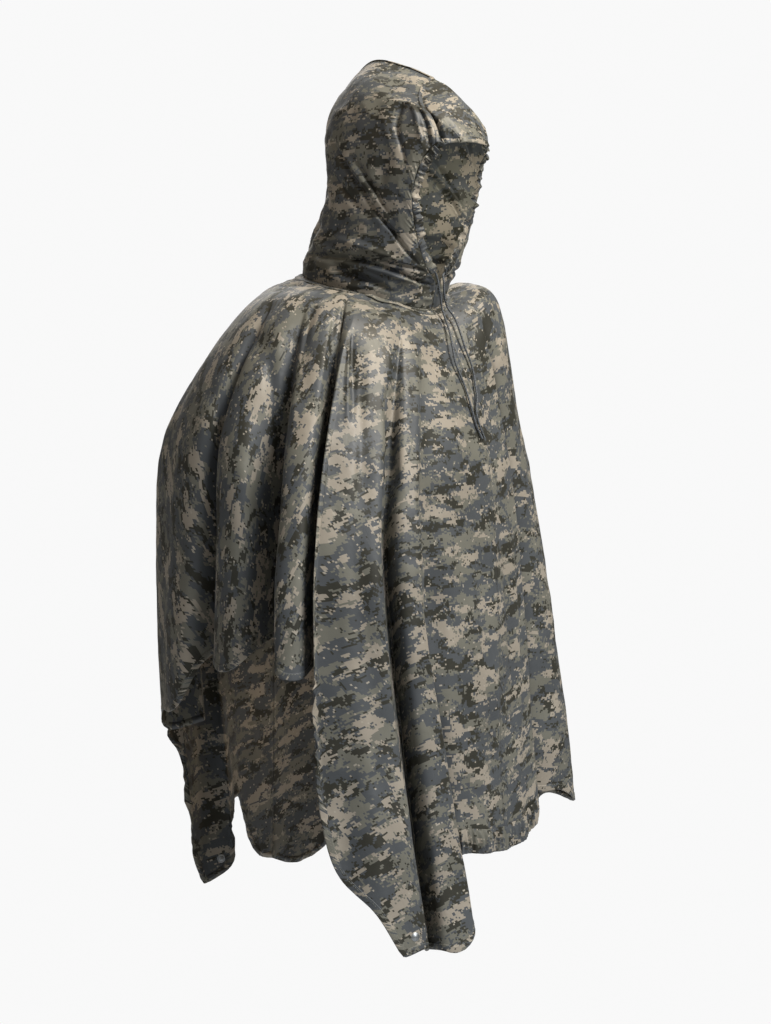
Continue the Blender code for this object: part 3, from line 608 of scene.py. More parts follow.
def tucked_lines(fold, hand):
    """Three lines where the cloth folds in behind a line: a lip, the bottom of the tuck, a lip."""
    half_turn = math.degrees(fold.tuck)  # on the flat a tuck takes its own depth, one metre out
    line = fold_line(fold, hand)
    made = []
    for place in (-1, 0, 1):
        cut = fold.cut + place * half_turn
        turned = fold_line(fold._replace(cut=cut), hand)
        turned[2:] = line[2:]
        for level, share in enumerate(TUCK_SHARES):
            away = unit(turned[level] * np.array([1.0, 1.0, 0.0]))
            if level > 1:
                turned[level] += hand * np.array([away[1], -away[0], 0.0]) * place * fold.lip
            if place == 0:
                turned[level] -= away * fold.tuck * TUCK_DEEP * share
        if place == 0:
            turned[-1, 2] += fold.rise + TUCK_LIFT * max(0.0, fold.tuck - SHALLOW_TUCK)
        made.append((turned, hand * cut, place == 0))
    return made


def half_lines(folds, hand):
    """Every line of one half: its points, its direction on the flat cloth, and whether it is the
    bottom of a tuck."""
    made = []
    for fold in folds:
        plain = [(fold_line(fold, hand), hand * fold.cut, False)]
        made += tucked_lines(fold, hand) if fold.tuck else plain
    return made


Body = namedtuple("Body", "grid turn reach stands back bottoms slack")


def body_surface():
    """The body's outer face as grid[column][row] with each column's direction on the flat cloth, each
    point's distance out along it, and the columns at which the fold lines stand."""
    shares = np.linspace(0.0, 1.0, BODY_ROWS)
    right = [(fold_line(FRONT_SEAM, 1), 0.0, False)] + half_lines(RIGHT_FOLDS, 1)
    left = [(fold_line(BACK_SEAM, 1), 180.0, False)]
    left += [(line, turn + 360.0, low) for line, turn, low in half_lines(LEFT_FOLDS, -1)[::-1]]
    every = right + left
    lines = np.array([along(line, shares) for line, _, _ in every])
    turns = [turn for _, turn, _ in every] + [360.0]
    count = len(lines)
    columns, column_turns, stands, bottoms, slack = [], [], [], [], []
    for k in range(count):
        stands.append(len(columns))
        if every[k][2]:
            bottoms.append(len(columns))
        four = [lines[(k + i) % count] for i in (-1, 0, 1, 2)]
        steps = max(2, round(np.linalg.norm(four[2][-1] - four[1][-1]) / BODY_STEP))
        in_tuck = every[k][2] or every[(k + 1) % count][2]
        ends = [abs(turn - 360.0) if turn > 180.0 else turn for turn in turns[k:k + 2]]
        to_corner = any(abs(turn - corner) < AT_CORNER for turn in ends for corner in CORNERS)
        firm = eased(shares, *CORNER_LEVELS)[:, None] * to_corner
        for step in range(steps):
            share = step / steps
            straight = four[1] + (four[2] - four[1]) * share
            curved = between(*four, share) * (1 - firm) + straight * firm
            columns.append(straight if in_tuck else curved)
            column_turns.append(turns[k] + (turns[k + 1] - turns[k]) * share)
            slack.append(TUCK_SLACK if in_tuck else 1.0)
    grid = np.array(columns)
    reach = NECK_CUT + run_along(grid.swapaxes(0, 1)).T
    return Body(grid, np.array(column_turns), reach, stands, stands[len(right)], bottoms,
                np.array(slack))


def grid_normals(grid, closed=False):
    """Outward unit normals of a grid whose columns run round the wearer's right and rows run down."""
    if closed:
        across = np.roll(grid, -1, axis=0) - np.roll(grid, 1, axis=0)
    else:
        across = np.gradient(grid, axis=0)
    return unit(np.cross(across, np.gradient(grid, axis=1)))


def print_turns(body):
    """Directions for the print, for every point. In each row the print keeps its true width on the
    cloth that shows, and what is left over is taken up at the bottoms of the tucks, out of sight."""
    way = np.roll(body.grid, -1, axis=0) - body.grid
    widths = np.linalg.norm(way, axis=2)
    down = unit(np.gradient(body.grid, axis=1))
    square = widths ** 2 - np.sum(way * down, axis=2) ** 2
    steps = np.degrees(np.sqrt(np.maximum(square, (PRINT_SQUEEZE * widths) ** 2)) / body.reach)
    count = len(body.grid)
    turns = np.repeat(body.turn[:, None], body.grid.shape[1], axis=1)
    marks = body.bottoms
    for first, last in zip(marks, marks[1:] + [marks[0] + count]):
        picked = [k % count for k in range(first, last)]
        run = np.concatenate([np.zeros((1, steps.shape[1])), np.cumsum(steps[picked], axis=0)[:-1]])
        end = body.turn[last % count] + (360.0 if last >= count else 0.0)
        turns[picked] = (body.turn[first] + end) / 2 - run[-1] / 2 + run
    return turns


def noise_at(points, size, shift):
    """Smooth noise from -1 to 1 at each point. size is how wide a feature is along x, y and z."""
    spots = points.reshape(-1, 3) / np.array(size) + shift
    return np.array([noise.noise(spot) for spot in spots.tolist()]).reshape(points.shape[:-1])


def soften(body, passes):
    """The closed body with the corners of its folds rounded, from column to column. The corners of
    the sheet keep their points."""
    grid = body.grid
    turn = np.where(body.turn > 180.0, 360.0 - body.turn, body.turn)
    near = np.min([np.abs(turn - corner) for corner in CORNERS], axis=0)
    low = eased(np.linspace(0.0, 1.0, grid.shape[1]), *CORNER_DOWN)
    share = 1.0 - (1.0 - CORNER_FIRM) * (1.0 - eased(near, *CORNER_NEAR))[:, None] * low[None, :]
    for _ in range(passes):
        rounded = (np.roll(grid, 1, axis=0) + 2 * grid + np.roll(grid, -1, axis=0)) / 4
        grid = grid + (rounded - grid) * share[..., None]
    return grid


def on_flat(turn, reach):
    """Places on the flat cloth, with the neck's middle at zero and the front hem below."""
    angle = np.radians(turn)
    return np.stack([reach * np.sin(angle), -reach * np.cos(angle)], axis=-1)


def trough(places, start, end, wide, depth, blunt):
    """How far in one crease takes the cloth at each place. Its ends taper off, but stop short of
    nothing by blunt, a share of its length."""
    way = end - start
    share = np.clip(((places - start) @ way) / (way @ way), 0.0, 1.0)
    off = np.linalg.norm(places - start - share[..., None] * way, axis=-1)
    taper = np.sin(np.clip(share, blunt, 1 - blunt) * math.pi) ** 0.6
    return depth * taper * np.exp(-(off / wide) ** 2 * 2.0)


def crease_depth(creases, flat):
    """How far in the cloth lies at each place, for a table of creases on the same flat cloth."""
    depth = np.zeros(flat.shape[:-1])
    for crease in creases:
        depth += trough(flat, on_flat(crease.turn_a, crease.reach_a),
                        on_flat(crease.turn_b, crease.reach_b), crease.wide, crease.depth, 0.04)
    return depth


def clear_of_cords(points):
    """0 where a cord lies on the cloth, rising to 1 away from it."""
    near = np.full(points.shape[:-1], 1.0)
    for route in (CORD_RIGHT, CORD_LEFT):
        for spot in along(route, np.linspace(0.0, 1.0, CORD_POINTS)):
            near = np.minimum(near, np.linalg.norm(points - spot, axis=-1))
    return eased(near, *CORD_CLEAR)


def worn_body():
    """The body with its creases, drape, crumple and gathers."""
    body = body_surface()
    grid = soften(body, SOFTEN_PASSES)
    body = body._replace(grid=grid)
    reach = body.reach
    slack = body.slack
    for _ in range(4):
        slack = np.minimum(slack, (np.roll(slack, 1) + np.roll(slack, -1) + 2 * slack) / 4)
    slack = slack[:, None]
    clear = clear_of_cords(grid)
    size, long = DRAPE_SIZE
    drape = noise_at(grid, (size, size, long), 3.1)
    drape += 0.5 * noise_at(grid, (size / 2, size / 2, long / 2), 7.7)
    crumple = 1.0 - 2.5 * np.abs(noise_at(grid, (CRUMPLE_SIZE,) * 3, 1.3))
    crumple *= eased(noise_at(grid, (CRUMPLE_PATCH,) * 3, 9.2), -0.25, 0.45)
    lift = DRAPE_HEIGHT * (0.25 + 0.75 * eased(reach, *DRAPE_REACH)) * drape
    lift += CRUMPLE_HEIGHT * crumple + FINE_HEIGHT * noise_at(grid, (FINE_SIZE,) * 3, 5.9)
    from_neck = reach - NECK_CUT
    lift *= slack * clear * eased(from_neck, 0.0, 0.03)
    # The turned hem is a little tight, so the cloth above it puckers
    up = reach[:, -1:] - reach
    spots = np.stack(np.broadcast_arrays(run_along(grid[:, -1])[:, None], up, 0.0 * up), axis=-1)
    puckers = noise_at(spots, (HEM_PUCKER_SIZE, 0.050, 1.0), 14.2)
    lift += HEM_PUCKER * puckers * np.exp(-up / HEM_PUCKER_FADE) * slack
    lift -= crease_depth(CREASES, on_flat(body.turn[:, None], reach)) * clear
    # The hood's weight crumples the cloth round the neck
    by_neck = eased(from_neck, 0.0, 0.02) * (1.0 - eased(from_neck, 0.03, 0.12))
    folded = 0.45 - 1.6 * np.abs(noise_at(grid, NECK_CRUMPLE_SIZE, 18.3))
    lift += NECK_CRUMPLE * by_neck * folded * clear
    # The seams down the middle of the front and back stand a little proud
    for turn in (0.0, 180.0, 360.0):
        off = np.radians(np.abs(body.turn[:, None] - turn)) * reach
        lift += SEAM_RIDGE * np.exp(-(off / SEAM_HALF) ** 4)
    lift += drawn_in(body, up)
    return body._replace(grid=grid + grid_normals(grid, closed=True) * lift[..., None])


def drawn_in(body, up):
    """Gathers of the cloth that the elastic of the bands draws in. up is how far each point lies
    above the edge."""
    drawn = np.zeros_like(up)
    count = len(body.grid)
    for first, last, gathers in band_spans(body):
        middle = (first + last) / 2
        half = (last - first) / 2
        places = (np.arange(count) - middle + count / 2) % count - count / 2
        inside = 1.0 - eased(np.abs(places), half * 0.92, half * 1.04)
        fade = np.exp(-np.maximum(up - BAND_HEIGHT, 0.0) / GATHER_FADE)
        waver = 0.9 * noise_at(body.grid, (0.03,) * 3, 12.5)
        phase = (places / half * gathers * math.pi)[:, None] + waver
        drawn += inside[:, None] * fade * GATHER_HEIGHT * np.cos(phase)
    return drawn


def band_spans(body):
    """First and last column and the number of gathers of the front and the back band."""
    count = len(body.grid)
    stands = body.stands
    back = stands.index(body.back)
    return [(stands[-FRONT_BAND_ENDS[1]] - count, stands[FRONT_BAND_ENDS[0]], FRONT_GATHERS),
            (stands[back - BACK_BAND_ENDS[0]], stands[back + BACK_BAND_ENDS[1]], BACK_GATHERS)]


def put_in(name, data):
    """An object with its data, in the scene."""
    made = bpy.data.objects.new(name, data)
    bpy.context.scene.collection.objects.link(made)
    return made


def add_object(name, mesh, look):
    """A mesh as a smooth piece of the garment."""
    mesh.shade_smooth()
    mesh.materials.append(look)
    made = put_in(name, mesh)
    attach(made, "root")
    return made


def printed_piece(name, points, faces, flat, look):
    """A piece from its points and faces. flat is the place of each point on the flat cloth, from
    which it takes its print."""
    mesh = bpy.data.meshes.new(name)
    mesh.from_pydata(points.reshape(-1, 3).tolist(), [], faces)
    corners = np.zeros(len(mesh.loops), np.int32)
    mesh.loops.foreach_get("vertex_index", corners)
    layer = mesh.uv_layers.new(name="flat")
    layer.data.foreach_set("uv", flat.reshape(-1, 2)[corners].astype(np.float32).ravel())
    return add_object(name, mesh, look)


def shell(name, outer, flat, look):
    """A closed thin shell of cloth. outer is grid[column][row] of its outer face, and flat is the
    place of each point on the flat cloth, for both faces."""
    inner = outer - grid_normals(outer) * CLOTH_THICKNESS
    below = outer.shape[0] * outer.shape[1]
    spots = np.arange(below).reshape(outer.shape[:2])
    front = [spots[:-1, :-1], spots[1:, :-1], spots[1:, 1:], spots[:-1, 1:]]
    front = np.stack(front, axis=-1).reshape(-1, 4)
    rim = np.concatenate([spots[:, 0], spots[-1, 1:], spots[-2::-1, -1], spots[0, -2:0:-1]])
    after = np.roll(rim, -1)
    edge = np.stack([after, rim, rim + below, after + below], axis=-1)
    faces = np.concatenate([front, front[:, ::-1] + below, edge]).tolist()
    return printed_piece(name, np.stack([outer, inner]), faces, np.stack([flat, flat]), look)


def trim(grid, gap):
    """The grid with its first and last columns moved in by gap, so that a seam stays open."""
    grid = grid.copy()
    for edge, inner in ((0, 1), (-1, -2)):
        grid[edge] += unit(grid[inner] - grid[edge]) * gap
    return grid


def tube(name, rings, flat, look):
    """A closed tube through rings[step][side] of points, with flat places for its print."""
    spots = np.arange(rings.shape[0] * rings.shape[1]).reshape(rings.shape[:2])
    after = np.roll(spots, -1, axis=1)
    faces = np.stack([spots[:-1], after[:-1], after[1:], spots[1:]], axis=-1).reshape(-1, 4).tolist()
    faces += [spots[0, ::-1].tolist(), spots[-1].tolist()]
    return printed_piece(name, rings, faces, flat, look)


def seam_strip(name, path, out, look, width, height, sink=0.0006, places=None):
    """A felled seam or a turned edge as a low rounded strip along a path on the cloth. out points
    away from the cloth, and sink is how far the strip's underside lies below the path. places gives
    the flat places at its two sides where its print runs on from the cloth."""
    ahead = unit(np.gradient(path, axis=0))
    out = square_to(out, ahead)
    across = np.cross(ahead, out)
    rises = STRIP_RISES * height
    rises[[0, -1]] = -sink
    rings = (path[:, None] + across[:, None] * (STRIP_SIDES * width)[:, None]
             + out[:, None] * rises[:, None])
    if places is None:
        flat = pairs(run_along(path)[:, None], STRIP_SIDES * width)
    else:
        low, high = places
        flat = low[:, None] + (high - low)[:, None] * (STRIP_SIDES + 0.5)[:, None]
    return tube(name, rings, flat, look)


def stitches(name, rows, look):
    """Short raised stitches along several rows. Each row is a path with its outward directions."""
    points, faces = [], []
    for path, out in rows:
        run = run_along(path)
        for k in range(max(2, int(run[-1] / STITCH_PITCH))):
            ends = np.array([k + 0.14, k + 0.86]) * STITCH_PITCH
            a, b = spread(path, run, ends)
            away = unit(spread(out, run, ends[:1])[0])
            side = unit(np.cross(unit(b - a), away)) * STITCH_WIDTH / 2
            top = away * STITCH_HEIGHT
            start = len(points)
            for spot, full in ((a, 0.3), ((a + b) / 2, 1.0), (b, 0.3)):
                points += [spot - side * full - top * 0.3, spot + top * full,
                           spot + side * full - top * 0.3]
            for ring in (start, start + 3):
                faces += [(ring + j, ring + (j + 1) % 3, ring + 3 + (j + 1) % 3, ring + 3 + j)
                          for j in range(3)]
            faces += [(start + 2, start + 1, start), (start + 6, start + 7, start + 8)]
    mesh = bpy.data.meshes.new(name)
    mesh.from_pydata([tuple(point) for point in points], [], faces)
    return add_object(name, mesh, look)


def quarter_turns(rib, steps):
    """One rib from the face edge round the side to the centre seam, on the wearer's left."""
    face = np.array([rib.face_x, rib.face_y, rib.face_z])
    side = np.array([rib.side_x, rib.side_y, rib.side_z])
    seam = np.array([0.0, rib.seam_y, rib.seam_z])
    share = np.linspace(0.0, 2.0, steps + 1)[:, None]
    a = np.where(share <= 1, share, share - 1) * math.pi / 2
    mix_x = np.where(share <= 1, np.sin(a), 1 - np.cos(a))
    mix_y = np.where(share <= 1, 1 - np.cos(a), np.sin(a))
    start = np.where(share <= 1, face, side)
    end = np.where(share <= 1, side, seam)
    mix = np.concatenate([mix_x, mix_y, (mix_x + mix_y) / 2], axis=1)
    return start + (end - start) * mix


def on_neck_ring(points):
    """The same points moved onto the neck seam of the body, each in its own direction."""
    turns = [turn_of(point) for point in points]
    rings = [section_at(turn) for turn in turns]
    return np.array([out_from_neck(turn, ring.neck, ring.neck_z) for turn, ring in zip(turns, rings)])


def hood_grid(ribs, rise, hand=-1):
    """One half of the hood as grid[step along the rib][rise over the ribs]. hand is 1 on the
    wearer's right and -1 on the left."""
    lines = np.array([quarter_turns(rib, HOOD_STEPS) for rib in ribs]) * np.array([-hand, 1.0, 1.0])
    if ribs[0] is HOOD_RIBS[0]:
        lines[0] = on_neck_ring(lines[0])
    shares = np.linspace(0.0, 1.0, rise + 1)
    grid = np.array([along(lines[:, step], shares) for step in range(HOOD_STEPS + 1)])
    grid[0, :, 0] = -hand * np.maximum(-hand * grid[0, :, 0], SEAM_GAP)
    return grid


def outward(grid, hand):
    """Unit normals of a piece of the hood, away from the middle of the head."""
    normals = grid_normals(grid[::hand])[::hand]
    return normals * np.sign(np.sum(normals * (grid - HEAD_MIDDLE), axis=-1).mean())


def shares_of(grid):
    """Shares across a piece and up it, from 0 to 1."""
    return np.linspace(0.0, 1.0, grid.shape[0])[:, None], np.linspace(0.0, 1.0, grid.shape[1])[None, :]


def laid_flat(grid, start):
    """Flat places for a curved piece: the start is eased, first coarsely and then finely, until the
    distances between neighbours on the flat are their distances on the cloth."""
    wide, deep = grid.shape[:2]
    flat = start
    neighbours = ((np.s_[:-1, :], np.s_[1:, :]), (np.s_[:, :-1], np.s_[:, 1:]),
                  (np.s_[:-1, :-1], np.s_[1:, 1:]), (np.s_[1:, :-1], np.s_[:-1, 1:]))
    for step in (12, 6, 3, 1):
        rows, cols = (np.unique(np.linspace(0, size - 1, max(4, size // step)).round().astype(int))
                      for size in (wide, deep))
        cloth = grid[np.ix_(rows, cols)]
        laid = flat[np.ix_(rows, cols)]
        begun = laid.copy()
        ties = [(a, b, np.linalg.norm(cloth[a] - cloth[b], axis=-1)) for a, b in neighbours]
        for _ in range(FLAT_PASSES):
            move = np.zeros_like(laid)
            for a, b, length in ties:
                way = laid[b] - laid[a]
                off = np.maximum(np.linalg.norm(way, axis=-1), 1e-7)
                pull = way * ((off - length) / off)[..., None]
                move[a] += pull
                move[b] -= pull
            laid = laid + move * FLAT_PULL
        # What this coarse grid moved by, read off for every point between
        moved = spread((laid - begun).reshape(len(rows), -1), rows, np.arange(wide))
        moved = moved.reshape(wide, len(cols), 2).swapaxes(0, 1).reshape(len(cols), -1)
        flat = flat + spread(moved, cols, np.arange(deep)).reshape(deep, wide, 2).swapaxes(0, 1)
    return flat


def hood_flat(grid, hand):
    """Flat places of a hood half, which lies flat nearly as it looks from the side."""
    side = np.stack([grid[..., 1] * hand, grid[..., 2]], axis=-1)
    return laid_flat(grid, side) + np.array([HOOD_PRINT_SHIFT * hand, 0.0])


def hood_lift(grid, hand):
    """Folds and crumple of one hood half. They fade at the edges that are sewn to others."""
    across, up = shares_of(grid)
    size = np.array(HOOD_CUT)
    places = pairs(across, up) * size
    lift = HOOD_CRUMPLE * noise_at(grid, HOOD_CRUMPLE_SIZE, 2.2 + hand)
    lift += 0.6 * HOOD_CRUMPLE * (0.5 - np.abs(noise_at(grid, (HOOD_FINE_SIZE,) * 3, 6.6 + hand)) * 2)
    for fold in HOOD_FOLDS:
        if fold.hand in (0, hand):
            lift -= trough(places, np.array([fold.across_a, fold.up_a]) * size,
                           np.array([fold.across_b, fold.up_b]) * size, fold.wide, fold.depth, 0.06)
    by_neck = 1.0 - eased(up, 0.12, 0.30)
    folded = 0.4 - 1.5 * np.abs(noise_at(grid, HOOD_NECK_SIZE, 25.1 + hand))
    lift += NECK_CRUMPLE * by_neck * folded
    run = np.stack(np.broadcast_arrays(places[..., 1], places[..., 0], 0.0), axis=-1)
    gathers = noise_at(run, (FACE_GATHER_SIZE / 2, 0.030, 1.0), 21.4 + hand)
    lift += FACE_GATHER * gathers * 1.6 * np.exp(-places[..., 0] / FACE_GATHER_FADE)
    return lift * (eased(across, 0.0, 0.045) * eased(1 - across, 0.0, 0.10)
                   * eased(up, 0.0, 0.05) * eased(1 - up, 0.0, 0.035))


def hood_half(name, hand, look):
    """One half of the hood, with its outer face creased and its sewn edges left where they are."""
    grid = hood_grid(HOOD_RIBS + VISOR_RIBS[:1], HOOD_RISE, hand)
    flat = hood_flat(grid, hand)
    grid = grid + outward(grid, hand) * hood_lift(grid, hand)[..., None]
    outer = trim(grid, SEAM_GAP / 2)
    return shell(name, outer[::hand, ::-1], flat[::hand, ::-1], look), grid


def visor_piece(look):
    """The visor, whole from side to side, with its creases and the pleat beside its joint."""
    half = hood_grid(VISOR_RIBS, VISOR_RISE)
    whole = np.concatenate([half, (half * np.array([-1.0, 1.0, 1.0]))[-2::-1]])
    across, up = shares_of(whole)
    tilted = whole[..., 1] * 0.64 + whole[..., 2] * 0.77 + 0.6
    flat = laid_flat(whole, pairs(whole[..., 0] * 1.2, tilted))
    lift = sum(height * noise_at(whole, (size,) * 3, shift) for height, size, shift in VISOR_CRUMPLE)
    for place, wide, depth, full in VISOR_DENTS:
        lift -= depth * np.exp(-((across - place) / wide) ** 2) * eased(up, 0.1, full)
    lift = lift * eased(up, 0.0, 0.25) * eased(across, 0.0, 0.06) * eased(1 - across, 0.0, 0.06)
    # The pleat narrows towards the crown
    in_from_side = 2 * np.minimum(across, 1 - across)
    narrow = PLEAT_WIDE * (1.1 - in_from_side)
    rise = run_along(whole.swapaxes(0, 1)).T
    pleat = np.exp(-((rise - narrow) / np.maximum(narrow, 0.001)) ** 2 * 2.0)
    lift -= PLEAT_DEEP * pleat * eased(in_from_side, 0.0, 0.10) * (1 - eased(in_from_side, 0.45, 0.80))
    grid = whole + outward(whole, -1) * lift[..., None]
    return shell("hood_visor_cloth", grid[::-1, ::-1], flat[::-1, ::-1], look), grid


def casing_piece(name, grid, hand, look):
    """The gathered casing round one side of the face, ruched on its cord."""
    edge = along(grid[0][::4], np.linspace(CASING_START, CASING_END, 24))
    steps = np.linspace(0.0, 1.0, CASING_RINGS)
    centre = along(edge, steps)
    marks = np.linspace(0.0, 1.0, grid.shape[1])
    at = CASING_START + (CASING_END - CASING_START) * steps
    ahead = unit(np.gradient(centre, axis=0))
    inward = square_to(spread(grid[0] - grid[2], marks, at), ahead)
    out = square_to(spread(outward(grid, hand)[0], marks, at), ahead)
    turns = np.linspace(0.0, 2 * math.pi, CASING_SIDES, endpoint=False)
    side, front = np.cos(turns), np.sin(turns)
    length = run_along(centre)[-1]
    run = steps * length
    to_end = np.minimum(run, length - run)
    # Puckers of the ruched cloth, uneven along the casing and from front to back
    spots = np.stack([side * 0.35, front * 0.35], axis=1)
    pucker = [[noise.noise((r / CASING_PUCKER_SIZE + hand * 7, s[0], s[1])) for s in spots] for r in run]
    fine = [[noise.noise((r / CASING_FINE_SIZE, s[0] * 2, s[1] * 2 + 5)) for s in spots] for r in run]
    full = 0.92 + CASING_PUCKER * np.array(pucker) + CASING_FINE * np.array(fine)
    full *= (0.86 + 0.14 * np.minimum(1.0, to_end / 0.01))[:, None]
    sway = np.array([[noise.noise((r / 0.013, 3.0 + hand, 0.0)),
                      noise.noise((r / 0.009, 9.0 + hand, 0.0))] for r in run])
    sway *= np.minimum(1.0, to_end / 0.02)[:, None] * CASING_SWAY
    middle = (centre + inward * (CASING_WIDTH / 2 + CASING_CLEAR + sway[:, :1])
              + out * (sway[:, 1:] - CASING_SINK))
    wide = side * CASING_WIDTH / 2 * (0.55 + 0.45 * full)
    deep = front * CASING_DEPTH / 2 * full
    rings = middle[:, None] + inward[:, None] * wide[..., None] + out[:, None] * deep[..., None]
    flat = pairs(run[:, None] * 1.8, turns / (2 * math.pi) * 0.036)
    return tube(name, rings if hand == -1 else rings[::-1], flat, look)


def hem_band_piece(name, body, first, last, gathers, look):
    """The elastic band sewn along the lower edge, with its puckers."""
    picked = [k % len(body.grid) for k in range(first, last + 1)]
    edge = body.grid[picked]
    fine = np.linspace(0.0, 1.0, gathers * 10 + 1)
    marks = np.linspace(0.0, 1.0, len(picked))
    out = spread(grid_normals(body.grid, closed=True)[picked, -1], marks, fine)
    up = body.reach[picked][:, -1:] - body.reach[picked]
    rows = []
    for rise in BAND_RISES:
        row = np.array([spread(points[::-1], high[::-1], [rise * BAND_HEIGHT])[0]
                        for points, high in zip(edge, up)])
        line = spread(row, marks, fine)
        arch = math.sin(min(max(rise, 0.03), 0.97) * math.pi) ** 0.5
        sway = np.array([noise.noise((share * gathers * 0.7, rise * 1.5, 3.3)) for share in fine])
        deep = np.array([noise.noise((share * gathers * 0.5, rise * 0.8, 9.1)) for share in fine])
        wave = np.cos(fine * gathers * 2 * math.pi + 2.2 * sway) * (0.75 + 0.5 * deep)
        lift = SEAM_GAP + BAND_LIFT + BAND_PUCKER * arch * (0.6 + 0.55 * wave)
        rows.append(line + out * lift[:, None])
    run = fine * run_along(line)[-1] * 1.5
    flat = pairs(run[:, None], BAND_RISES * BAND_HEIGHT)
    return shell(name, np.stack(rows, axis=1), flat + 0.3, look)


def snap_piece(name, solid, tree, look):
    """A spun snap cap with its ring, seated on the cloth where the solid lies."""
    corners = np.array([vertex.co for vertex in solid.data.vertices], float)
    middle = corners.mean(axis=0)
    axis = np.linalg.svd(corners - middle)[2][2]
    spot, normal, _, _ = tree.find_nearest(Vector(middle))
    spot, normal = np.array(spot), np.array(normal)
    away = unit(middle - spot) if np.linalg.norm(middle - spot) > 1e-6 else normal
    if axis @ away < 0:
        axis = -axis
    if abs(axis @ normal) > 0.5:
        axis = normal * np.sign(normal @ away)
    side = unit(np.cross(axis, [0.0, 0.0, 1.0]))
    over = np.cross(axis, side)
    turns = np.linspace(0.0, 2 * math.pi, SNAP_SIDES, endpoint=False)
    round_ = np.cos(turns)[:, None] * side + np.sin(turns)[:, None] * over
    rings = np.array([spot + axis * height + radius * round_ for radius, height in SNAP_PROFILE])
    flat = pairs(np.arange(len(rings))[:, None] * 0.001, turns * 0.001)
    return tube(name, rings, flat, look)


def cord_piece(name, route, look):
    """One free end of the drawcord on the route of its solid."""
    curve = bpy.data.curves.new(name, "CURVE")
    curve.dimensions = "3D"
    curve.bevel_depth = CORD_DIAMETER / 2
    curve.bevel_resolution = 4
    curve.use_fill_caps = True
    points = along(route, np.linspace(0.0, 1.0, CORD_POINTS))
    spline = curve.splines.new("POLY")
    spline.points.add(len(points) - 1)
    for spot, point in zip(spline.points, points):
        spot.co = (*point, 1.0)
    curve.materials.append(look)
    made = put_in(name, curve)
    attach(made, "root")
    return made


def mixed(tree, share, first, second):
    """A mix of two colours. Each is a colour or the socket that gives one."""
    made = node(tree, "ShaderNodeMix", [("Factor", share)], data_type="RGBA")
    ends = [socket for socket in made.inputs if socket.type == "RGBA"]
    feed(tree, ends[0], first)
    feed(tree, ends[1], second)
    return [socket for socket in made.outputs if socket.type == "RGBA"][0]


def between_values(tree, value, low, high, start=0.0, end=1.0):
    """A value that runs from low to high while the given one runs from start to end."""
    return node(tree, "ShaderNodeMapRange", [("Value", value), ("From Min", start), ("From Max", end),
                                             ("To Min", low), ("To Max", high)]).outputs[0]


def print_layer(tree, below, squares, colour, size, level, shift, detail):
    """One colour of the print over the ones below it, in blotches of the given width and height."""
    placed = node(tree, "ShaderNodeMapping", [
        ("Vector", squares), ("Location", (shift, shift * 0.7, 0.0)),
        ("Scale", (1 / size[0], 1 / size[1], 1.0))])
    blotch = node(tree, "ShaderNodeTexNoise", [
        ("Vector", placed.outputs[0]), ("Scale", 1.0), ("Detail", detail), ("Roughness", 0.62),
        ("Lacunarity", 2.3)], noise_dimensions="2D")
    inside = node(tree, "ShaderNodeMath", [(0, blotch.outputs[0]), (1, level)],
                  operation="GREATER_THAN")
    return mixed(tree, inside.outputs[0], below, linear(colour))


def new_material(name):
    """A new material and its node tree."""
    made = bpy.data.materials.new(name)
    made.use_nodes = True
    return made, made.node_tree


def dressed(made, **looks):
    """The material with what its shader's own sockets are set to, or fed by."""
    shader = made.node_tree.nodes["Principled BSDF"]
    for name, value in looks.items():
        feed(made.node_tree, shader.inputs[name.replace("_", " ")], value)
    return made


def printed_nylon():
    """Coated nylon taffeta, woven, dyed slate and printed in small squares, then coated. The coating
    gives broad cool highlights on the folds, and the thin weave a fine crinkle."""
    made, tree = new_material("printed_coated_nylon")
    flat = node(tree, "ShaderNodeUVMap", uv_map="flat").outputs["UV"]
    squares = node(tree, "ShaderNodeVectorMath", [(0, flat), (1, (PRINT_SQUARE, PRINT_SQUARE, 1.0))],
                   operation="SNAP").outputs[0]
    ground = node(tree, "ShaderNodeRGB")
    ground.outputs[0].default_value = linear(SLATE)
    colour = ground.outputs[0]
    for layer in PRINT_LAYERS:
        colour = print_layer(tree, colour, squares, *layer)
    # Slow shading of the dye lot and of wear
    cloudy = node(tree, "ShaderNodeTexNoise", [("Vector", flat), ("Scale", 9.0), ("Detail", 4.0)],
                  noise_dimensions="2D").outputs[0]
    tone = between_values(tree, cloudy, 0.90, 1.08, 0.3, 0.7)
    shaded = node(tree, "ShaderNodeVectorMath", [(0, colour), ("Scale", tone)], operation="SCALE")
    # Crinkle of the thin cloth, and its threads drawn at four times their real 0.3 mm to show
    crinkle = node(tree, "ShaderNodeTexNoise", [
        ("Vector", flat), ("Scale", 1 / CRINKLE_SIZE), ("Detail", 5.0), ("Roughness", 0.55),
        ("Distortion", 0.4)], noise_dimensions="2D")
    threads = node(tree, "ShaderNodeMapping", [
        ("Vector", flat), ("Scale", (1 / THREAD, 1 / THREAD, 1.0))])
    weave = node(tree, "ShaderNodeTexChecker", [("Vector", threads.outputs[0]), ("Scale", 1.0)])
    height = node(tree, "ShaderNodeMath", [
        (0, weave.outputs["Fac"]), (1, 0.010), (2, crinkle.outputs[0])], operation="MULTIPLY_ADD")
    bump = node(tree, "ShaderNodeBump", [("Height", height.outputs[0]), ("Strength", CRINKLE_STRENGTH),
                                         ("Distance", CRINKLE_DEPTH)])
    return dressed(made, Base_Color=shaded.outputs[0], IOR=1.53, Specular_IOR_Level=0.28,
                   Roughness=between_values(tree, cloudy, ROUGH_LOW, ROUGH_HIGH, 0.3, 0.7),
                   Sheen_Weight=0.03, Sheen_Roughness=0.45, Sheen_Tint=linear("c9d3e0"),
                   Normal=bump.outputs[0])


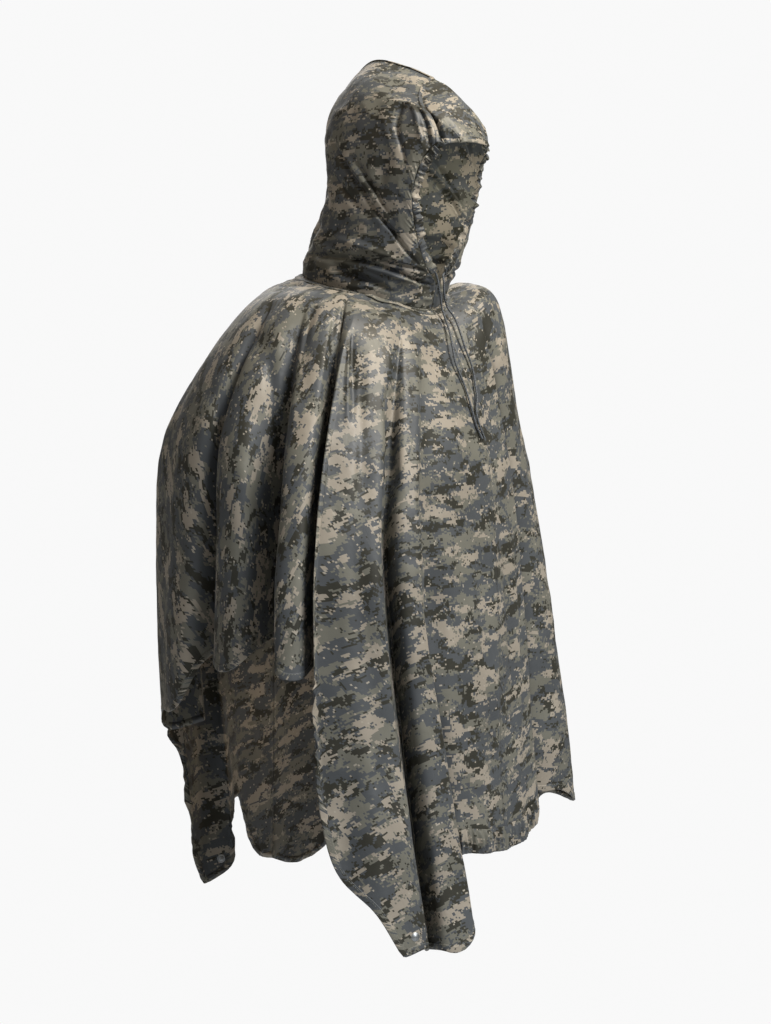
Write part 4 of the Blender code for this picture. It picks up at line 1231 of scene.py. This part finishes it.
def braided_cord():
    """Braided polyester cord. Its crossing strands give a matt dark surface with slanting ribs, with
    painted shade in the grooves between them.
    """
    made, tree = new_material("braided_polyester_cord")
    place = node(tree, "ShaderNodeTexCoord").outputs["Object"]
    ribs = []
    for turn in (0.8, -0.8):
        slanted = node(tree, "ShaderNodeMapping", [("Vector", place), ("Rotation", (turn,) * 3)])
        ribs.append(node(tree, "ShaderNodeTexWave", [
            ("Vector", slanted.outputs[0]), ("Scale", 1 / STRAND / 3.14), ("Distortion", 1.2)]))
    strands = node(tree, "ShaderNodeMath", [(0, ribs[0].outputs["Fac"]), (1, ribs[1].outputs["Fac"])],
                   operation="MAXIMUM").outputs[0]
    bump = node(tree, "ShaderNodeBump", [("Height", strands), ("Strength", 0.6), ("Distance", 0.0004)])
    # The colour follows the strands' height: painted shade in the grooves between them, lighter on their
    # tops.
    return dressed(made, Base_Color=mixed(tree, strands, linear("1d2023"), linear("4a5057")),
                   Roughness=0.72, IOR=1.55, Normal=bump.outputs[0])


def speckled(tree, scale, detail):
    """Fine specks, by the size of the piece itself."""
    place = node(tree, "ShaderNodeTexCoord").outputs["Object"]
    return node(tree, "ShaderNodeTexNoise", [
        ("Vector", place), ("Scale", scale), ("Detail", detail)]).outputs[0]


def sewing_thread():
    """Spun polyester sewing thread, matt and a little lighter than the cloth."""
    made, tree = new_material("spun_polyester_thread")
    colour = mixed(tree, speckled(tree, 900.0, 2.0), linear("5c5e58"), linear("8b8c82"))
    return dressed(made, Base_Color=colour, Roughness=0.8)


def plated_brass():
    """Stamped brass snap, nickel plated and tumbled, with fine scuffs in its colour and roughness."""
    made, tree = new_material("nickel_plated_brass")
    scuffs = speckled(tree, 700.0, 4.0)
    return dressed(made, Base_Color=mixed(tree, scuffs, linear("7d8286"), linear("a9adb0")),
                   Metallic=1.0, Roughness=between_values(tree, scuffs, 0.38, 0.58))


def stage_paint():
    """Plain matt white studio floor."""
    return dressed(new_material("matt_white_floor")[0], Base_Color=linear(STAGE_WHITE), Roughness=0.9)


def make_camera():
    """The camera of the photograph."""
    turn = math.radians(VIEW_TURN)
    data = bpy.data.cameras.new("camera")
    data.sensor_fit = "VERTICAL"
    data.sensor_height = SENSOR
    data.lens = FOCAL_PIXELS * SENSOR / PICTURE_HEIGHT
    camera = put_in("camera", data)
    tilt = math.atan((PICTURE_HEIGHT / 2 - LEVEL_PIXEL) / FOCAL_PIXELS)
    pan = math.atan((PICTURE_WIDTH / 2 - AXIS_PIXEL) / FOCAL_PIXELS)
    camera.location = (math.sin(turn) * VIEW_DISTANCE, -math.cos(turn) * VIEW_DISTANCE, VIEW_HEIGHT)
    camera.rotation_euler = (math.pi / 2 - tilt, 0.0, turn - pan)
    bpy.context.scene.camera = camera


def make_light(name, turn, rise, wide, strength, colour):
    """A large soft light from far off, which falls alike on the whole garment and the floor."""
    data = bpy.data.lights.new(name, "SUN")
    data.angle = math.radians(wide)
    data.energy = strength
    data.color = colour
    light = put_in(name, data)
    angle, up = math.radians(turn), math.radians(rise)
    place = Vector((math.sin(angle) * math.cos(up), -math.cos(angle) * math.cos(up), math.sin(up)))
    light.location = place * 4.0
    light.rotation_euler = place.to_track_quat("Z", "Y").to_euler()


def make_lamp(name, middle, radius, power, colour):
    """A soft lamp. Only its light is seen."""
    data = bpy.data.lights.new(name, "POINT")
    data.energy = power
    data.color = colour
    data.shadow_soft_size = radius
    lamp = put_in(name, data)
    lamp.location = middle
    lamp.visible_camera = False


def make_studio():
    """Plain soft light, a plain light wall all round and a plain floor far below."""
    for light in LIGHTS:
        make_light(*light)
    for lamp in LAMPS:
        make_lamp(*lamp)
    world = bpy.data.worlds.new("studio")
    world.use_nodes = True
    tree = world.node_tree
    seen = node(tree, "ShaderNodeLightPath").outputs["Is Camera Ray"]
    backdrop = tree.nodes["Background"].inputs
    feed(tree, backdrop["Color"], mixed(tree, seen, ROOM_COLOUR, (1.0, 1.0, 1.0, 1.0)))
    feed(tree, backdrop["Strength"], between_values(tree, seen, ROOM_LIGHT, BACKDROP))
    bpy.context.scene.world = world
    bpy.context.scene.view_settings.view_transform = "Standard"
    mesh = bpy.data.meshes.new("studio_floor")
    rim = [(math.cos(turn) * FLOOR_RADIUS, math.sin(turn) * FLOOR_RADIUS, FLOOR_Z)
           for turn in np.linspace(0.0, 2 * math.pi, 64, endpoint=False)]
    mesh.from_pydata(rim, [], [tuple(range(len(rim)))])
    mesh.materials.append(stage_paint())
    put_in("studio_floor", mesh)


def make_body(cloth, thread):
    """The big sheet with its bands, neck seam, hems and stitches. Gives back its worn form."""
    body = worn_body()
    count = len(body.grid)
    flat = on_flat(print_turns(body), body.reach)
    halves = {"right": list(range(0, body.back + 1)), "left": list(range(body.back, count)) + [0]}
    normals = grid_normals(body.grid, closed=True)
    panels = {}
    for side, picked in halves.items():
        outer = trim(body.grid[picked], SEAM_GAP / 2)
        panels[side] = shell("body_%s_cloth" % side, outer, flat[picked], cloth)
        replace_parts(panels[side], "body_" + side)
    for name, (first, last, gathers) in zip(("hem_band_front", "hem_band_back"), band_spans(body)):
        band = hem_band_piece(name + "_elastic", body, first, last, gathers, cloth)
        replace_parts(band, name)

    # Neck seam: the hood is felled down onto the body, with two rows of stitches
    ring, ring_out = (np.concatenate([rows[:, NECK_ROW], rows[:1, NECK_ROW]])[::2]
                      for rows in (body.grid, normals))
    neck = seam_strip("neck_seam", ring, ring_out, cloth, *NECK_SEAM)
    ahead = unit(np.gradient(ring, axis=0))
    aside = np.cross(ahead, square_to(ring_out, ahead))
    neck_rows = [(ring + aside * off + ring_out * NECK_STITCH_RISE, ring_out) for off in NECK_STITCH_OFF]
    # Turned hems all round, each with its row of stitches
    hem_rows, hems = [], []
    for side, picked in halves.items():
        edge = body.grid[picked, -1]
        over = unit(body.grid[picked, -2] - edge)
        out = normals[picked, -1]
        path = edge + over * HEM_WIDTH / 2
        rim = flat[picked, -1]
        inside = rim + unit(flat[picked, -2] - rim) * HEM_WIDTH
        if np.sum(np.cross(np.gradient(path, axis=0), out) * over) < 0:
            rim, inside = inside, rim
        hems.append(seam_strip("hem_" + side, path, out, cloth, HEM_WIDTH, HEM_HEIGHT, sink=0.0007,
                               places=(rim, inside)))
        hem_rows.append((edge + over * (HEM_WIDTH - HEM_STITCH_IN) + out * HEM_HEIGHT, out))
    sewing = stitches("hem_stitches", hem_rows + neck_rows, thread)

    return body


def make_hood(cloth):
    """The hood's two halves with their casings and seams, and its visor."""
    for side, hand in (("left", -1), ("right", 1)):
        half, grid = hood_half("hood_%s_cloth" % side, hand, cloth)
        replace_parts(half, "hood_" + side)
        casing = casing_piece("casing_%s_ruched" % side, grid, hand, cloth)
        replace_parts(casing, "casing_" + side)
        if hand == -1:
            crest = grid[-1, ::2]
            out = (crest - HEAD_MIDDLE) * np.array([0.0, 1.0, 1.0])
            seam_strip("hood_centre_seam", crest, unit(out), cloth, *HOOD_SEAM)
    visor, grid = visor_piece(cloth)
    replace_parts(visor, "hood_visor")
    front, back = grid[:, -1], grid[:, 0]
    inward = unit(grid[:, -2] - front)
    out = square_to(unit(front - HEAD_MIDDLE), inward)
    brim = seam_strip("visor_hem", front + inward * VISOR_HEM[0] / 2, out, cloth, *VISOR_HEM)
    joint = seam_strip("visor_seam", back, unit(back - HEAD_MIDDLE), cloth, *VISOR_SEAM)


def surface_tree(body):
    """The body's outer face, for finding the nearest place on it."""
    spots = np.arange(body.grid.shape[0] * body.grid.shape[1]).reshape(body.grid.shape[:2])
    after = np.roll(spots, -1, axis=0)
    quads = np.stack([spots[:, :-1], after[:, :-1], after[:, 1:], spots[:, 1:]], axis=-1)
    points = [Vector(point) for point in body.grid.reshape(-1, 3)]
    return BVHTree.FromPolygons(points, quads.reshape(-1, 4).tolist())


def main():
    make_camera()
    cord_look = braided_cord()
    for name, route in (("drawcord_right", CORD_RIGHT), ("drawcord_left", CORD_LEFT)):
        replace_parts(cord_piece(name + "_braid", route, cord_look), name)
    cloth = printed_nylon()
    thread = sewing_thread()
    metal = plated_brass()
    body = make_body(cloth, thread)
    make_hood(cloth)
    tree = surface_tree(body)
    for end in ("front", "back"):
        for side in ("right", "left"):
            name = "snap_%s_%s" % (end, side)
            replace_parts(snap_piece(name + "_cap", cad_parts[name], tree, metal), name)
    make_studio()


main()
